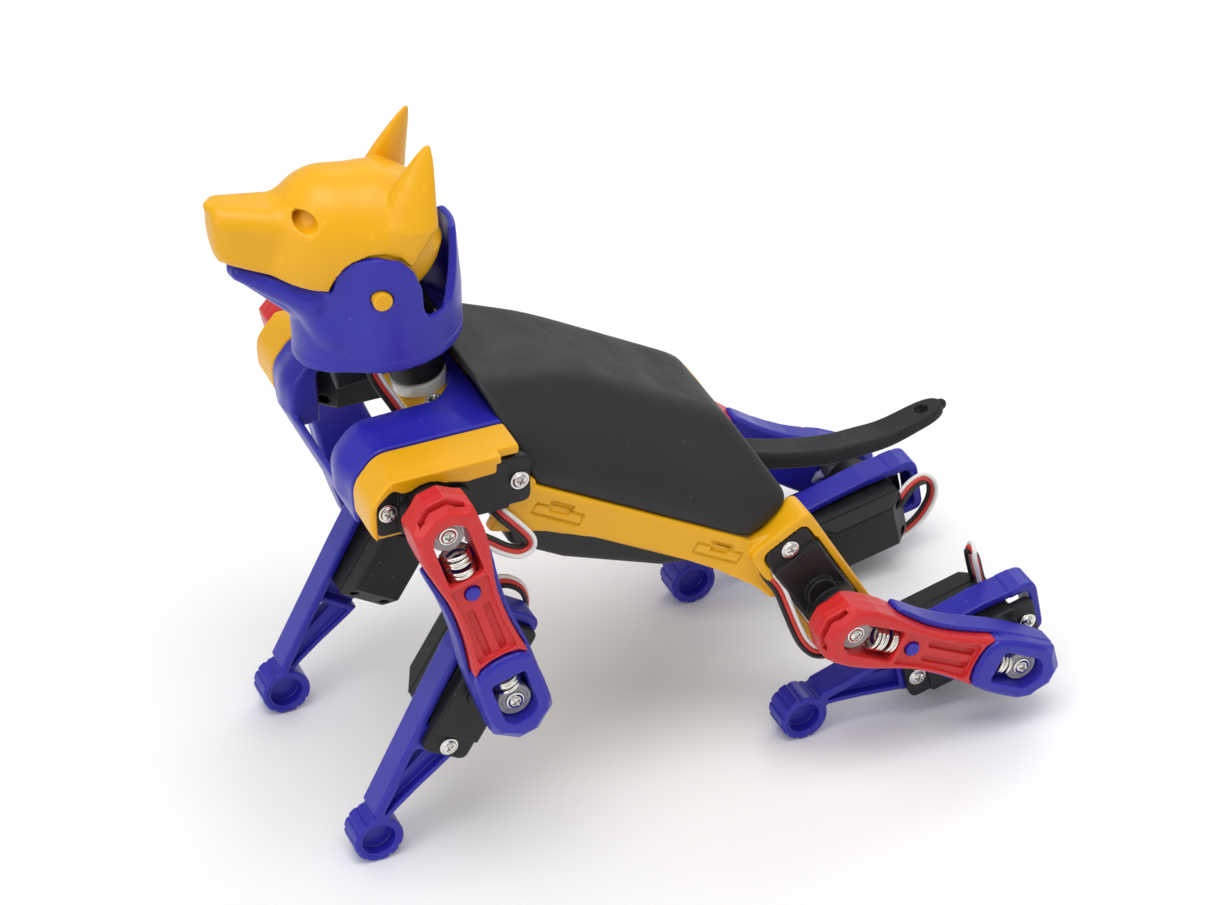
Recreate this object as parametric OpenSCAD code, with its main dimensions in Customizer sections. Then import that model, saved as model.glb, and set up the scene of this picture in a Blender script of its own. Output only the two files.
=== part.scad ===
// Quadruped robot dog kit: a tray chassis with a snap-on back cover, four two-segment
// sprung legs driven by geared micro servos, a panning head with an opening mouth,
// a slide-in battery and a soft tail.
// Frame: origin on the ground under the middle of the object, +X towards the nose,
// +Y to the dog's left, +Z up. Millimetres.

/* [Stance] */
// Distance between the front and rear hip axes
hip_pitch = 105; // [100:1:112]
// Nose-up pitch of the body
body_pitch = 30; // [28:0.5:31]
// Height of the point midway between the hip axes
body_height = 63.1; // [62:0.1:64]
// Front left thigh, degrees from straight down, forward positive
front_left_thigh_angle = -16.3; // [-20:0.1:-12]
// Front right thigh, degrees from straight down
front_right_thigh_angle = -15.3; // [-20:0.1:-12]
// Rear left thigh, degrees from straight down
rear_left_thigh_angle = -62.5; // [-64:0.1:-60]
// Rear right thigh, degrees from straight down
rear_right_thigh_angle = -60.1; // [-64:0.1:-60]
// Head turn about the neck axis, towards the dog's left positive
head_turn = -6; // [-10:0.5:10]

/* [Legs] */
// Hip axis to knee axis
thigh_length = 46.8; // [46:0.1:48]
// Knee axis to foot centre
shank_length = 46.8; // [46:0.1:48]
// Outer radius of the foot ring
foot_radius = 5.5; // [5.2:0.1:5.8]
// Radius of the recess in the foot ring
foot_hole_radius = 3.6; // [3.4:0.1:3.7]
// Half width of a thigh at its ends
thigh_half_width = 7; // [6.8:0.1:7.2]
// Half width of a thigh at its waist
waist_half_width = 4.7; // [4.5:0.1:4.9]
// Travel of each sprung horn in its window
spring_travel = 2.5; // [2:0.1:2.5]

/* [Servo] */
// Distance between the two mounting screws
servo_screw_span = 28; // [27.5:0.5:28]
// Output shaft to the nearer mounting screw
servo_near_screw = 8; // [7.5:0.5:8]
// Length of the case between the ears
servo_case_length = 23; // [22.5:0.5:23]
// Width of the case
servo_width = 11.8; // [11.6:0.1:11.8]
// Depth of the case behind the ears' outer face
servo_depth = 18; // [17:0.5:18]

/* [Body] */
// Outer width across the chassis rails
chassis_width = 60.8; // [60:0.2:61]
// Wall of the back cover
cover_wall = 1.8; // [1.5:0.1:2]
// Neck axis, degrees from the body's long axis
neck_tilt = 50; // [49:1:51]
// Length of the battery along its rails
battery_length = 59; // [56:1:60]

/* [Hidden] */
$fn = 48;
slip = 0.05;
gap = 0.2;
hip_x = hip_pitch / 2;
seat_y = chassis_width / 2;
ear_thickness = 2;
hip_ear_y = seat_y + ear_thickness;
knee_ear_y = hip_ear_y + 0.6;
servo_far_screw = servo_screw_span - servo_near_screw;
servo_case_back = -(servo_case_length / 2 - 6);
servo_case_front = servo_case_back + servo_case_length;
case_top = 0.8;
boss_radius = servo_width / 2 - 0.1;
boss_top = 4.5;
spline_radius = 2.5;
screw_radius = 1;
screw_head_radius = 2.1;
thigh_inner_y = 38;
thigh_joint_y = 41.5;
thigh_outer_y = 47;
horn_radius = 3.9;
horn_y = 42.4;
horn_face_y = 44.4;
window_half = 4.1;
window_length = 8.4;
pocket_length = 11.8;
pin_radius = 1.6;
pin_drop = 14.6;
spring_radius = 2.7;
wire_radius = 0.28;
spring_y = 43.7;
foot_outer_y = 31;
foot_inner_y = 24;
foot_web = 1.6;
pivot = [44.4, 0, 126.1];
neck_point = [47.5, 0, 13.7];
rail_top = 8.5;
rail_thickness = 3;
floor_low = 1;
floor_high = 3;
seat_wall = 1.8;
shoulder_wall = 2.4;
cap_inner_y = 24;
yoke_inner_y = 11.6;
neck_plate_top = -3.2;
neck_horn_radius = 5.6;
neck_clearance_radius = 8.5;
collar_x = 40;
collar_radius = 15;
collar_wall = 1.6;
collar_low = 108.5;
collar_high = 120;
post_high = 132;
front_low = 108.5;
nose_wall = 1.2;
pivot_radius = 2;
front_x = 48.6;
front_radius = 11.2;
mouth_z = 127.3;
eye_radius = 2.2;
button_radius = 2;
button_travel = 0.8;
battery_front = 27;
battery_rear = battery_front - battery_length;
origin_shift = 11.79;
window_floor_y = 42.3;
slot_half = 3.35;
joint_drop = 8.5;
pad_drop = 33.7;
seat_depth = 8;
seat_rise = 3.4;
hinge_boss_radius = 5.2;
tail_hole_radius = 1.5;

yellow = [0.98, 0.72, 0.02];
blue = [0.15, 0.15, 0.8];
red = [0.9, 0.15, 0.15];
black = [0.12, 0.12, 0.13];
grey = [0.6, 0.6, 0.62];
steel = [0.8, 0.8, 0.78];

// ---- frames -------------------------------------------------------------

// Leg index: 0 front left, 1 front right, 2 rear left, 3 rear right.
thigh_angles = [front_left_thigh_angle, front_right_thigh_angle,
                rear_left_thigh_angle, rear_right_thigh_angle];
function is_front(leg) = leg < 2;
function side(leg) = leg % 2 == 0 ? 1 : -1;
function hip_body_x(leg) = is_front(leg) ? hip_x : -hip_x;
function hip_height(leg) = body_height + hip_body_x(leg) * sin(body_pitch);
// Each shank leans just enough to put its foot on the ground.
function shank_angle(leg) =
    acos((hip_height(leg) - thigh_length * cos(thigh_angles[leg]) - foot_radius) / shank_length);

// Body frame: origin midway between the hip axes, +X along the body.
module body_frame() {
    translate([origin_shift, 0, body_height])
        rotate([0, -body_pitch, 0])
            children();
}

module on_side(s) {
    if (s > 0) children();
    else mirror([0, 1, 0]) children();
}

// Hip axis at the origin, thigh along -Z, outward along +Y.
module thigh_frame(leg) {
    translate([origin_shift + hip_body_x(leg) * cos(body_pitch), 0, hip_height(leg)])
        rotate([0, -thigh_angles[leg], 0])
            on_side(side(leg))
                children();
}

// Knee axis at the origin, shank along -Z, outward along +Y.
module shank_frame(leg) {
    a = thigh_angles[leg];
    translate([origin_shift + hip_body_x(leg) * cos(body_pitch) + thigh_length * sin(a), 0,
               hip_height(leg) - thigh_length * cos(a)])
        rotate([0, -shank_angle(leg), 0])
            on_side(side(leg))
                children();
}

// Servo frame of a hip: shaft at the origin of the ears' outer face,
// +X towards the far screw, +Y outward.
module hip_servo_frame(leg) {
    body_frame()
        on_side(side(leg))
            translate([hip_body_x(leg), hip_ear_y, 0])
                rotate([0, is_front(leg) ? 180 + body_pitch : -body_pitch, 0])
                    children();
}

module knee_servo_frame(leg) {
    shank_frame(leg)
        translate([0, knee_ear_y, 0])
            rotate([0, 92, 0])
                children();
}

// Neck axis along +Z at the origin, forward along +X.
module neck_frame() {
    body_frame()
        translate(neck_point)
            rotate([0, 90 - neck_tilt, 0])
                children();
}

module head_frame() {
    neck_frame()
        rotate([0, 0, head_turn])
            rotate([0, neck_tilt - 90, 0])
                translate(-neck_point)
                    rotate([0, body_pitch, 0])
                        translate([0, 0, -body_height])
                            children();
}

// ---- shared shapes ------------------------------------------------------

// A rod of radius r along +Y from y0 to y1.
module rod_y(r, y0, y1, x = 0, z = 0) {
    translate([x, y0, z])
        rotate([-90, 0, 0])
            cylinder(r = r, h = y1 - y0);
}

// A rod of radius r along +Z from z0 to z1.
module rod_z(r, z0, z1, x = 0, y = 0) {
    translate([x, y, z0])
        cylinder(r = r, h = z1 - z0);
}

// A block from its low and high corners.
module block(low, high) {
    translate(low) cube(high - low);
}

// Outline in x and z, extruded along +Y from y0 to y1.
module plate_y(points, y0, y1) {
    translate([0, y1, 0])
        rotate([90, 0, 0])
            linear_extrude(y1 - y0)
                polygon(points);
}

// Pan-head screw along -Y, its head's underside at the origin.
module screw(length = 6, head = 1.1) {
    rod_y(screw_head_radius, 0, head);
    rod_y(screw_radius, -length, 0.01);
}

// Coil of round wire along -Z from the origin.
module coil(length, turns, radius, wire) {
    steps = 10 * turns;
    corners = 4;
    points = [for (i = [0:steps], j = [0:corners - 1])
        let (a = 360 * i * turns / steps,
             b = 360 * j / corners,
             ring = radius - wire + wire * cos(b))
        [ring * cos(a), ring * sin(a), -length * i / steps + wire * sin(b)]];
    sides = [for (i = [0:steps - 1], j = [0:corners - 1])
        let (a = i * corners + j,
             b = i * corners + (j + 1) % corners)
        [a, b, b + corners, a + corners]];
    first = [for (j = [corners - 1:-1:0]) j];
    last = [for (j = [0:corners - 1]) steps * corners + j];
    polyhedron(points, concat([first], sides, [last]));
}

// ---- servo --------------------------------------------------------------

module servo(ears = true) {
    half = servo_width / 2;
    chamfer = 4;
    difference() {
        union() {
            translate([0, 0, -half])
                linear_extrude(servo_width)
                    polygon([[servo_case_back, case_top], [servo_case_front, case_top],
                             [servo_case_front, chamfer - servo_depth],
                             [servo_case_front - chamfer, -servo_depth],
                             [servo_case_back + chamfer, -servo_depth],
                             [servo_case_back, chamfer - servo_depth]]);
            if (ears)
                block([-servo_near_screw - 2.5, -ear_thickness, -half + 0.3],
                      [servo_far_screw + 2.5, 0, half - 0.3]);
            rod_y(boss_radius, 0, boss_top);
        }
        rod_y(spline_radius + slip, boss_top - 2.4, boss_top + 1);
        if (ears)
            for (x = [-servo_near_screw, servo_far_screw])
                rod_y(screw_radius + slip, -ear_thickness - 1, 1, x);
    }
}

module hip_servo(leg) {
    color(black) hip_servo_frame(leg) servo();
}

module knee_servo(leg) {
    color(black) knee_servo_frame(leg) servo();
}

module servo_screws() {
    color(steel) {
        for (leg = [0:3], x = [-servo_near_screw, servo_far_screw])
            hip_servo_frame(leg)
                translate([x, 0, 0])
                    screw();
        neck_frame()
            for (y = [-8, 8])
                translate([0, y, neck_plate_top])
                    rotate([90, 0, 0])
                        screw(length = 4);
    }
}

// ---- body ---------------------------------------------------------------

module rail_plate() {
    plate_y([[33, rail_top], [-27, rail_top], [-36, 12], [-40, -4], [-34, -1.6], [-22, 0.2],
             [-7, 1], [8, 0.8], [22, -0.8], [33, -3.6]],
            seat_y - rail_thickness, seat_y);
}

// Walled seat for one hip servo, in the servo's frame.
module servo_seat(front) {
    inner = servo_width / 2 + gap;
    low = front ? -servo_near_screw - 2.5 : -17;
    high = servo_far_screw + (front ? 3.4 : 2.6);
    difference() {
        union() {
            block([low, -ear_thickness - 2.4, front ? -seat_rise : -inner - seat_wall],
                  [high, -ear_thickness, inner + seat_wall]);
            // walls along the case
            if (front)
                block([servo_case_front - 8, -seat_depth, inner],
                      [servo_case_front + 4, -ear_thickness, inner + seat_wall]);
            else
                for (z = [-inner - seat_wall, inner])
                    block([low, -seat_depth, z],
                          [z > 0 ? servo_case_front : high - 2, z > 0 ? 0 : -ear_thickness,
                           z + seat_wall]);
        }
        servo_clearance();
    }
}

// Space kept free for a servo's case and for its two screws.
module servo_clearance() {
    inner = servo_width / 2 + gap;
    block([servo_case_back - gap, -servo_depth - gap, -inner],
          [servo_case_front + gap, 0, inner]);
    for (x = [-servo_near_screw, servo_far_screw])
        rod_y(screw_radius + slip, -ear_thickness - 6, 1, x);
}

module neck_mount() {
    difference() {
        union() {
            block([-5.5, -11, neck_plate_top - 3], [5.5, 11, neck_plate_top]);
            block([-5.5, -5, neck_plate_top - 15], [-1.5, 5, neck_plate_top]);
        }
        for (y = [-8, 8])
            rod_z(screw_radius + slip, neck_plate_top - 6, neck_plate_top + 1, 0, y);
        rod_z(screw_radius + slip, neck_plate_top - 6, neck_plate_top + 1);
    }
}

// Recess in a rail's outer face for one clip of the back cover.
module clip_recess(x0, x1) {
    middle = (x0 + x1) / 2;
    block([x0, seat_y - 0.8, 2.2], [x1, seat_y + 1, 4.6]);
    block([middle - 3, seat_y - 0.8, 4.4], [middle + 3, seat_y + 1, 5.8]);
}

// Runner that carries one edge of the battery.
module battery_runner() {
    block([-34, 19.4, -3.6], [battery_front, 21.4, floor_low + 0.5]);
    block([-34, 17.4, -3.6], [battery_front, 21.4, -2.2]);
}

module chassis() {
    color(yellow)
        difference() {
            union() {
                body_frame() {
                    for (s = [1, -1])
                        on_side(s) {
                            rail_plate();
                            battery_runner();
                        }
                    block([-34.6, 1 - seat_y, floor_low], [33, seat_y - 1, floor_high]);
                    // posts under the neck mount and the tail
                    block([29, -5, floor_low], [33, 5, 7]);
                    block([-34.6, -6, floor_low], [-31.6, 6, 15.4]);
                }
                for (leg = [0:3])
                    hip_servo_frame(leg)
                        servo_seat(is_front(leg));
                neck_frame()
                    neck_mount();
            }
            for (leg = [0:3])
                hip_servo_frame(leg)
                    servo_clearance();
            body_frame() {
                for (s = [1, -1])
                    on_side(s) {
                        clip_recess(15, 27);
                        clip_recess(-27, -14);
                    }
                // openings that lighten the floor
                for (x = [-22, -6, 10])
                    block([x - 6, -14, 0], [x + 6, 14, 4.5]);
                // socket for the tail
                block([-40, -4.1, 11.3], [-30, 4.1, 16]);
            }
        }
}

// Shell over the top of one front hip servo, in the servo's frame.
module shoulder(y0, y1, end) {
    half = servo_width / 2;
    top = half + gap + shoulder_wall;
    nose = -servo_near_screw - 2.5 - gap;
    mirror([0, 0, 1]) {
        block([nose - nose_wall, y0, half + 2 * gap], [end, y1, top]);
        block([nose - nose_wall, y0, 2 - half], [nose, y1, top]);
    }
}

module shoulder_cap(leg) {
    half = servo_width / 2;
    end = servo_far_screw - 2;
    color(yellow)
        hip_servo_frame(leg)
            difference() {
                union() {
                    shoulder(cap_inner_y - hip_ear_y, 2, end);
                    // lip over the servo's face
                    mirror([0, 0, 1])
                        block([-servo_near_screw - 3, case_top + gap, half - 1.6],
                              [servo_case_front - 2, 2, half + 1]);
                }
                rod_y(boss_radius + 2 * gap, 0, 3);
            }
}

module chest_yoke() {
    half = servo_width / 2;
    nose = -servo_near_screw - 2.5 - gap - nose_wall;
    end = servo_far_screw - 3;
    color(blue) {
        for (leg = [0, 1])
            hip_servo_frame(leg) {
                shoulder(yoke_inner_y - hip_ear_y, cap_inner_y - gap - hip_ear_y, end);
                mirror([0, 0, 1]) {
                    // half of the bridge behind the neck
                    block([end - 0.1, yoke_inner_y - hip_ear_y, half + 2 * gap],
                          [end + 4.2, yoke_inner_y + 4 - hip_ear_y, half + gap + shoulder_wall]);
                    block([end + 2.2, -hip_ear_y - 0.1, half + 2 * gap],
                          [end + 4.2, yoke_inner_y + 4 - hip_ear_y, half + gap + shoulder_wall]);
                    // half of the bar across the chest
                    block([nose, -hip_ear_y - 0.1, -half - 2.4],
                          [nose + 4.6, cap_inner_y - gap - hip_ear_y, -half - gap]);
                    block([nose, yoke_inner_y - hip_ear_y, -half - 2.4],
                          [nose + nose_wall, cap_inner_y - gap - hip_ear_y, 2.2 - half]);
                }
            }
    }
}

// Rounded gem-like solid of the back cover, shrunk by t.
module cover_form(t) {
    r = 3 - t;
    corners = [[27, 27.4, 11], [-23, 27.4, 11], [-28, 24, 16.5],
               [32.6, 24.6, 15], [42, 17, 18.6], [18, 9.8, 24.5], [-14, 9.8, 24.5]];
    hull()
        for (c = corners, s = [1, -1])
            translate([c[0], s * c[1], c[2]])
                sphere(r = r, $fn = 24);
    hull()
        for (c = [corners[0], corners[1]], s = [1, -1], z = [c[2], rail_top + (t > 0 ? -3 : 3.2)])
            translate([c[0], s * c[1], z])
                sphere(r = r, $fn = 24);
}

module back_cover() {
    color(black)
        difference() {
            body_frame()
                difference() {
                    cover_form(0);
                    cover_form(cover_wall);
                    block([-50, -40, -20], [60, 40, rail_top + gap]);
                    // open front
                    plate_y([[30, 0], [30, 8.7], [36.3, 14.5], [41, 17.2], [60, 20], [60, 0]], -40, 40);
                    // slot for the tail
                    block([-40, -4.4, 10], [-20, 4.4, 18.4]);
                }
            neck_frame()
                rod_z(neck_clearance_radius, -10, 20);
        }
}

module main_board() {
    color([0.05, 0.3, 0.15])
        body_frame() {
            block([-28, -19, 6], [26, 19, 7.6]);
            block([-18, -11, 7.6], [-2, 5, 9.2]);
            block([4, 8, 7.6], [20, 16, 13]);
            block([4, -16, 7.6], [20, -8, 13]);
            for (x = [-24, 22], y = [-15, 15])
                rod_z(2, floor_high, 6, x, y);
        }
}

tail_path = [[-33, 13.6, 4.2], [-39, 15, 4.6], [-47, 17, 4.5], [-57.5, 20.7, 4.3], [-65, 25, 4.1],
             [-70.3, 28.6, 3.9], [-76, 34.4, 3.6], [-80, 38.8, 3.2]];

module tail() {
    hole = [-76.8, 35.2];
    slope = 48;
    color(black)
        body_frame() {
            difference() {
                for (i = [0:len(tail_path) - 2])
                    hull()
                        for (p = [tail_path[i], tail_path[i + 1]])
                            translate([p[0], 0, p[1]])
                                rod_y(p[2] / 2, -p[2] * 0.85, p[2] * 0.85, $fn = 32);
                translate([hole[0], 0, hole[1]])
                    rotate([0, slope, 0])
                        cylinder(r = tail_hole_radius, h = 16, center = true);
            }
        }
}

module battery_pack() {
    color(black)
        body_frame()
            difference() {
                union() {
                    plate_y([[battery_rear, 0.6], [battery_rear - 2, -2.6], [-20, -8.4], [4, -12],
                             [battery_front - 9, -12], [battery_front - 3, -6],
                             [battery_front, 0.6]], -17, 17);
                    block([battery_rear, -19, -1.8], [battery_front, 19, 0.6]);
                }
                translate([-12, 0, -9.6])
                    rotate([0, -8.5, 0])
                        rod_z(button_radius + slip, -4, 3.4);
            }
}

// Power button under the battery.
module battery_button() {
    color(grey)
        body_frame()
            translate([-12, 0, -9.6])
                rotate([0, -8.5, 0])
                    rod_z(button_radius, -2, 3.4 - button_travel - gap);
}

module servo_leads() {
    color([0.8, 0.8, 0.8])
        for (leg = [0:3])
            hip_servo_frame(leg)
                for (i = [0:2])
                    translate([0, 0, (i - 1) * 1.3])
                        block([servo_case_front + gap, 3 - servo_depth, -0.55],
                              [servo_case_front + 1.6, 7 - servo_depth, 0.55]);
}

// ---- head ---------------------------------------------------------------

module neck_horn() {
    color(grey)
        neck_frame()
            difference() {
                union() {
                    rod_z(neck_horn_radius, neck_plate_top, -gap);
                    rod_z(spline_radius, -1, 2.2);
                }
                rod_z(screw_radius + slip, neck_plate_top - 1, 3);
            }
}

module neck_servo() {
    color(black)
        head_frame_raw()
            translate([0, 0, boss_top])
                rotate([-90, 0, 0])
                    servo(false);
}

// Neck frame turned with the head.
module head_frame_raw() {
    neck_frame()
        rotate([0, 0, head_turn])
            children();
}

// Collar with its bulge towards the throat, shrunk by t.
module collar_form(t, z0, z1) {
    rod_z(collar_radius - t, z0, z1, collar_x);
    rod_z(front_radius - t, front_low, z1, front_x);
}

module jaw_collar() {
    color(blue)
        difference() {
            head_frame()
                difference() {
                    union() {
                        collar_form(0, collar_low, collar_high);
                        for (s = [1, -1])
                            on_side(s)
                                rod_y(9, collar_radius - 2.1, collar_radius, pivot[0], pivot[2]);
                        // post behind the head
                        intersection() {
                            rod_z(collar_radius, collar_low, post_high, collar_x);
                            block([collar_x - 20, -5, collar_low], [collar_x - 8, 5, post_high]);
                        }
                        // lower jaw
                        difference() {
                            hull() {
                                translate([68.6, 0, 130.4])
                                    sphere(r = 1.6, $fn = 24);
                                for (y = [-7.5, 7.5])
                                    translate([55, y, 125])
                                        sphere(r = 2.5, $fn = 24);
                                for (y = [-6, 6])
                                    translate([54, y, 116])
                                        sphere(r = 2.5, $fn = 24);
                            }
                            plate_y([[45, 126.7], [54.5, mouth_z - 0.4], [80, mouth_z + 7.5],
                                     [80, 145], [45, 145]], -20, 20);
                        }
                    }
                    // hollow for the neck servo and the skull
                    collar_form(collar_wall, collar_low - 1, collar_high + 40);
                    for (s = [1, -1])
                        on_side(s)
                            rod_y(pivot_radius + slip, 10, collar_radius + 1, pivot[0], pivot[2]);
                }
            head_frame_raw()
                translate([0, 0, boss_top])
                    rotate([-90, 0, 0])
                        servo_clearance();
        }
}

// Braincase, brow and snout of the skull, shrunk by t.
module skull_form(t) {
    hull() {
        translate([42.2, 0, 133.6])
            sphere(r = 13 - t, $fn = 40);
        translate([52.2, 0, 135.6])
            sphere(r = 10.6 - t, $fn = 32);
    }
    hull() {
        translate([56, 0, 136.8])
            sphere(r = 8.4 - t, $fn = 32);
        translate([69.6, 0, 139.4])
            sphere(r = 5.8 - t, $fn = 32);
    }
}

module skull() {
    color(yellow)
        head_frame() {
            difference() {
                union() {
                    skull_form(0);
                    for (s = [1, -1])
                        on_side(s)
                            ear();
                }
                skull_form(2);
                plate_y([[20, 110], [20, 137], [45, 127.6], [54.5, mouth_z], [80, mouth_z + 7.9],
                         [80, 110]], -20, 20);
                for (s = [1, -1])
                    on_side(s)
                        rod_y(eye_radius, 4, 20, 57, 141.5);
            }
            for (s = [1, -1])
                on_side(s) {
                    rod_y(pivot_radius, 9.5, collar_radius + 0.4, pivot[0], pivot[2]);
                    rod_y(hinge_boss_radius, 10.2, 12.7, pivot[0], pivot[2]);
                }
        }
}

module ear() {
    hull() {
        translate([32.8, 8, 154.6]) sphere(r = 0.7, $fn = 16);
        translate([41, 7, 144]) sphere(r = 1.2, $fn = 16);
        translate([42, 11, 138]) sphere(r = 1, $fn = 16);
        translate([34, 8, 141]) sphere(r = 1.6, $fn = 16);
    }
}

// ---- legs ---------------------------------------------------------------

// Half of a pointed hexagon end at drop s, pointing up for d = 1 and down for d = -1.
function end_points(s, d) = [
    [-thigh_half_width * d, -s - 1.5 * d], [-thigh_half_width * d, -s + 5.2 * d],
    [-1.6 * d, -s + 9.6 * d], [1.6 * d, -s + 9.6 * d],
    [thigh_half_width * d, -s + 5.2 * d], [thigh_half_width * d, -s - 1.5 * d]];

// Openings for one sprung horn at drop s: wide outside, a slot for its hub inside, and
// the spring's pocket. They run down the thigh for d = 1 and up it for d = -1.
module horn_openings(s, d) {
    translate([0, 0, -s])
        mirror([0, 0, d > 0 ? 0 : 1]) {
            rod_y(window_half, window_floor_y, thigh_outer_y + 1);
            block([-window_half, window_floor_y, -window_length],
                  [window_half, thigh_outer_y + 1, 0]);
            for (z = [0, -spring_travel])
                rod_y(slot_half, thigh_inner_y - 1, window_floor_y + 0.5, 0, z);
            block([-slot_half, thigh_inner_y - 1, -spring_travel],
                  [slot_half, window_floor_y + 0.5, 0]);
            block([-spring_radius - 0.4, spring_y - spring_radius - 0.3, -pocket_length],
                  [spring_radius + 0.4, spring_y + spring_radius + 0.2, -horn_radius]);
        }
}

module thigh_outer(leg) {
    color(red)
        thigh_frame(leg)
            difference() {
                union() {
                    plate_y(concat(end_points(0, 1),
                                   [[waist_half_width, -16], [5.8, -pad_drop + gap],
                                    [-5.8, -pad_drop + gap], [-waist_half_width, -16]]),
                            thigh_joint_y + slip, thigh_outer_y);
                    plate_y(concat(end_points(0, 1), [[6.8, -joint_drop], [-6.8, -joint_drop]]),
                            thigh_inner_y, thigh_joint_y + 1);
                }
                horn_openings(0, 1);
                rod_y(pin_radius + slip, thigh_joint_y - 1, thigh_outer_y + 1, 0, -pin_drop);
                // grooves along the waist
                for (x = [-2, 2])
                    block([x - 0.8, thigh_outer_y - 0.8, -31.8],
                          [x + 0.8, thigh_outer_y + 1, -18.5]);
            }
}

module thigh_inner(leg) {
    knee = thigh_length;
    top = -joint_drop - gap;
    color(blue)
        thigh_frame(leg)
            difference() {
                union() {
                    plate_y(concat([[-6.8, top], [6.8, top], [6.1, -16], [6.1, -31]],
                                   end_points(knee, -1), [[-6.1, -31], [-6.1, -16]]),
                            thigh_inner_y, thigh_joint_y);
                    plate_y(concat([[-6.8, -pad_drop], [6.8, -pad_drop]], end_points(knee, -1)),
                            thigh_joint_y - 0.5, thigh_outer_y + 0.4);
                    // flanges beside the outer plate
                    for (side = [0, 1])
                        mirror([side, 0, 0])
                            plate_y([[6, -11], [6.8, -10], [6.5, -31], [6.8, -pad_drop - 1],
                                     [6, -pad_drop - 1]], thigh_joint_y - 0.5, 44);
                    rod_y(pin_radius, thigh_joint_y - 0.5, thigh_outer_y - 0.3, 0, -pin_drop);
                }
                horn_openings(knee, -1);
                // the hip spring's pocket reaches into the inner plate
                block([-spring_radius - 0.4, spring_y - spring_radius - 0.3, -pocket_length],
                      [spring_radius + 0.4, thigh_joint_y + 1, -horn_radius]);
            }
}

module leg_coil(s, d) {
    translate([0, spring_y, -s])
        mirror([0, 0, d > 0 ? 0 : 1])
            translate([0, 0, -horn_radius - 0.35])
                coil(pocket_length - horn_radius - 0.75, 6, spring_radius, wire_radius);
}

module hip_spring(leg) {
    color(steel) thigh_frame(leg) leg_coil(0, 1);
}

module knee_spring(leg) {
    color(steel) thigh_frame(leg) leg_coil(thigh_length, -1);
}

// Output horn with its screw as a second solid, shaft at the origin.
module horn(ear_y) {
    color(grey)
        difference() {
            union() {
                rod_y(spline_radius, ear_y + boss_top - 2, horn_y);
                rod_y(3.2, ear_y + boss_top + gap, horn_y + 0.1);
                rod_y(horn_radius, horn_y, horn_face_y);
            }
            rod_y(screw_radius + slip, horn_y - 3, horn_face_y + 1);
        }
    color(steel)
        translate([0, horn_face_y + 0.02, 0])
            screw(length = 4.5);
}

module hip_horn(leg) {
    thigh_frame(leg) horn(hip_ear_y);
}

module knee_horn(leg) {
    shank_frame(leg) horn(knee_ear_y);
}

module shank(leg) {
    foot = shank_length;
    half = servo_width / 2;
    outer = knee_ear_y - ear_thickness;
    middle = (foot_inner_y + foot_outer_y) / 2;
    color(blue)
        shank_frame(leg)
            difference() {
                union() {
                    // front bar
                    plate_y([[8.8, 11], [6.6, 11], [6.6, -20], [3.4, -foot + 7],
                             [1.6, -foot + 3], [4.6, -foot + 3], [6.6, -20]],
                            foot_inner_y, outer);
                    plate_y([[8.8, 11], [6.4, 11], [6.4, -8], [5.6, -22], [2.4, -foot + 4],
                             [4.9, -foot + 4], [6.9, -22], [8.2, -6]], foot_inner_y, outer);
                    // rear branch
                    plate_y([[5.6, -22], [-5.4, -22], [-4.6, -24.5], [-2, -32], [-0.4, -foot + 4],
                             [2.4, -foot + 4]], foot_inner_y + 1, outer);
                    // seats under the servo's ears
                    plate_y([[6.6, 11], [-5, 11], [-5, 6.6], [6.6, 6.6]], outer - 2.4, outer);
                    rod_y(foot_radius, foot_inner_y, foot_outer_y, 0, -foot);
                }
                plate_y([[4.8, -24], [-2.6, -24], [2.6, -34]], foot_inner_y - 1, outer + 1);
                // recesses in both faces of the foot, with a web between them
                rod_y(foot_hole_radius, foot_inner_y - 1, middle - foot_web / 2, 0, -foot);
                rod_y(foot_hole_radius, middle + foot_web / 2, foot_outer_y + 1, 0, -foot);
                translate([0, knee_ear_y, 0])
                    rotate([0, 92, 0])
                        for (x = [-servo_near_screw, servo_far_screw])
                            rod_y(screw_radius + slip, -ear_thickness - 8, 1, x);
            }
}

module shank_screws(leg) {
    color(steel)
        knee_servo_frame(leg)
            for (x = [-servo_near_screw, servo_far_screw])
                translate([x, 0, 0])
                    screw();
}

// ---- nodes --------------------------------------------------------------

chassis();
chest_yoke();
shoulder_cap(0);  // left_shoulder_cap
shoulder_cap(1);  // right_shoulder_cap
back_cover();
main_board();
hip_servo(0);  // front_left_hip_servo
hip_servo(1);  // front_right_hip_servo
hip_servo(2);  // rear_left_hip_servo
hip_servo(3);  // rear_right_hip_servo
servo_screws();
servo_leads();
neck_horn();
tail();
battery_pack();
battery_button();
neck_servo();
jaw_collar();
skull();
hip_horn(0);  // front_left_hip_horn
thigh_outer(0);  // front_left_thigh_outer
thigh_inner(0);  // front_left_thigh_inner
hip_spring(0);  // front_left_hip_spring
knee_spring(0);  // front_left_knee_spring
knee_horn(0);  // front_left_knee_horn
knee_servo(0);  // front_left_knee_servo
shank(0);  // front_left_shank
shank_screws(0);  // front_left_shank_screws
hip_horn(1);  // front_right_hip_horn
thigh_outer(1);  // front_right_thigh_outer
thigh_inner(1);  // front_right_thigh_inner
hip_spring(1);  // front_right_hip_spring
knee_spring(1);  // front_right_knee_spring
knee_horn(1);  // front_right_knee_horn
knee_servo(1);  // front_right_knee_servo
shank(1);  // front_right_shank
shank_screws(1);  // front_right_shank_screws
hip_horn(2);  // rear_left_hip_horn
thigh_outer(2);  // rear_left_thigh_outer
thigh_inner(2);  // rear_left_thigh_inner
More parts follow.
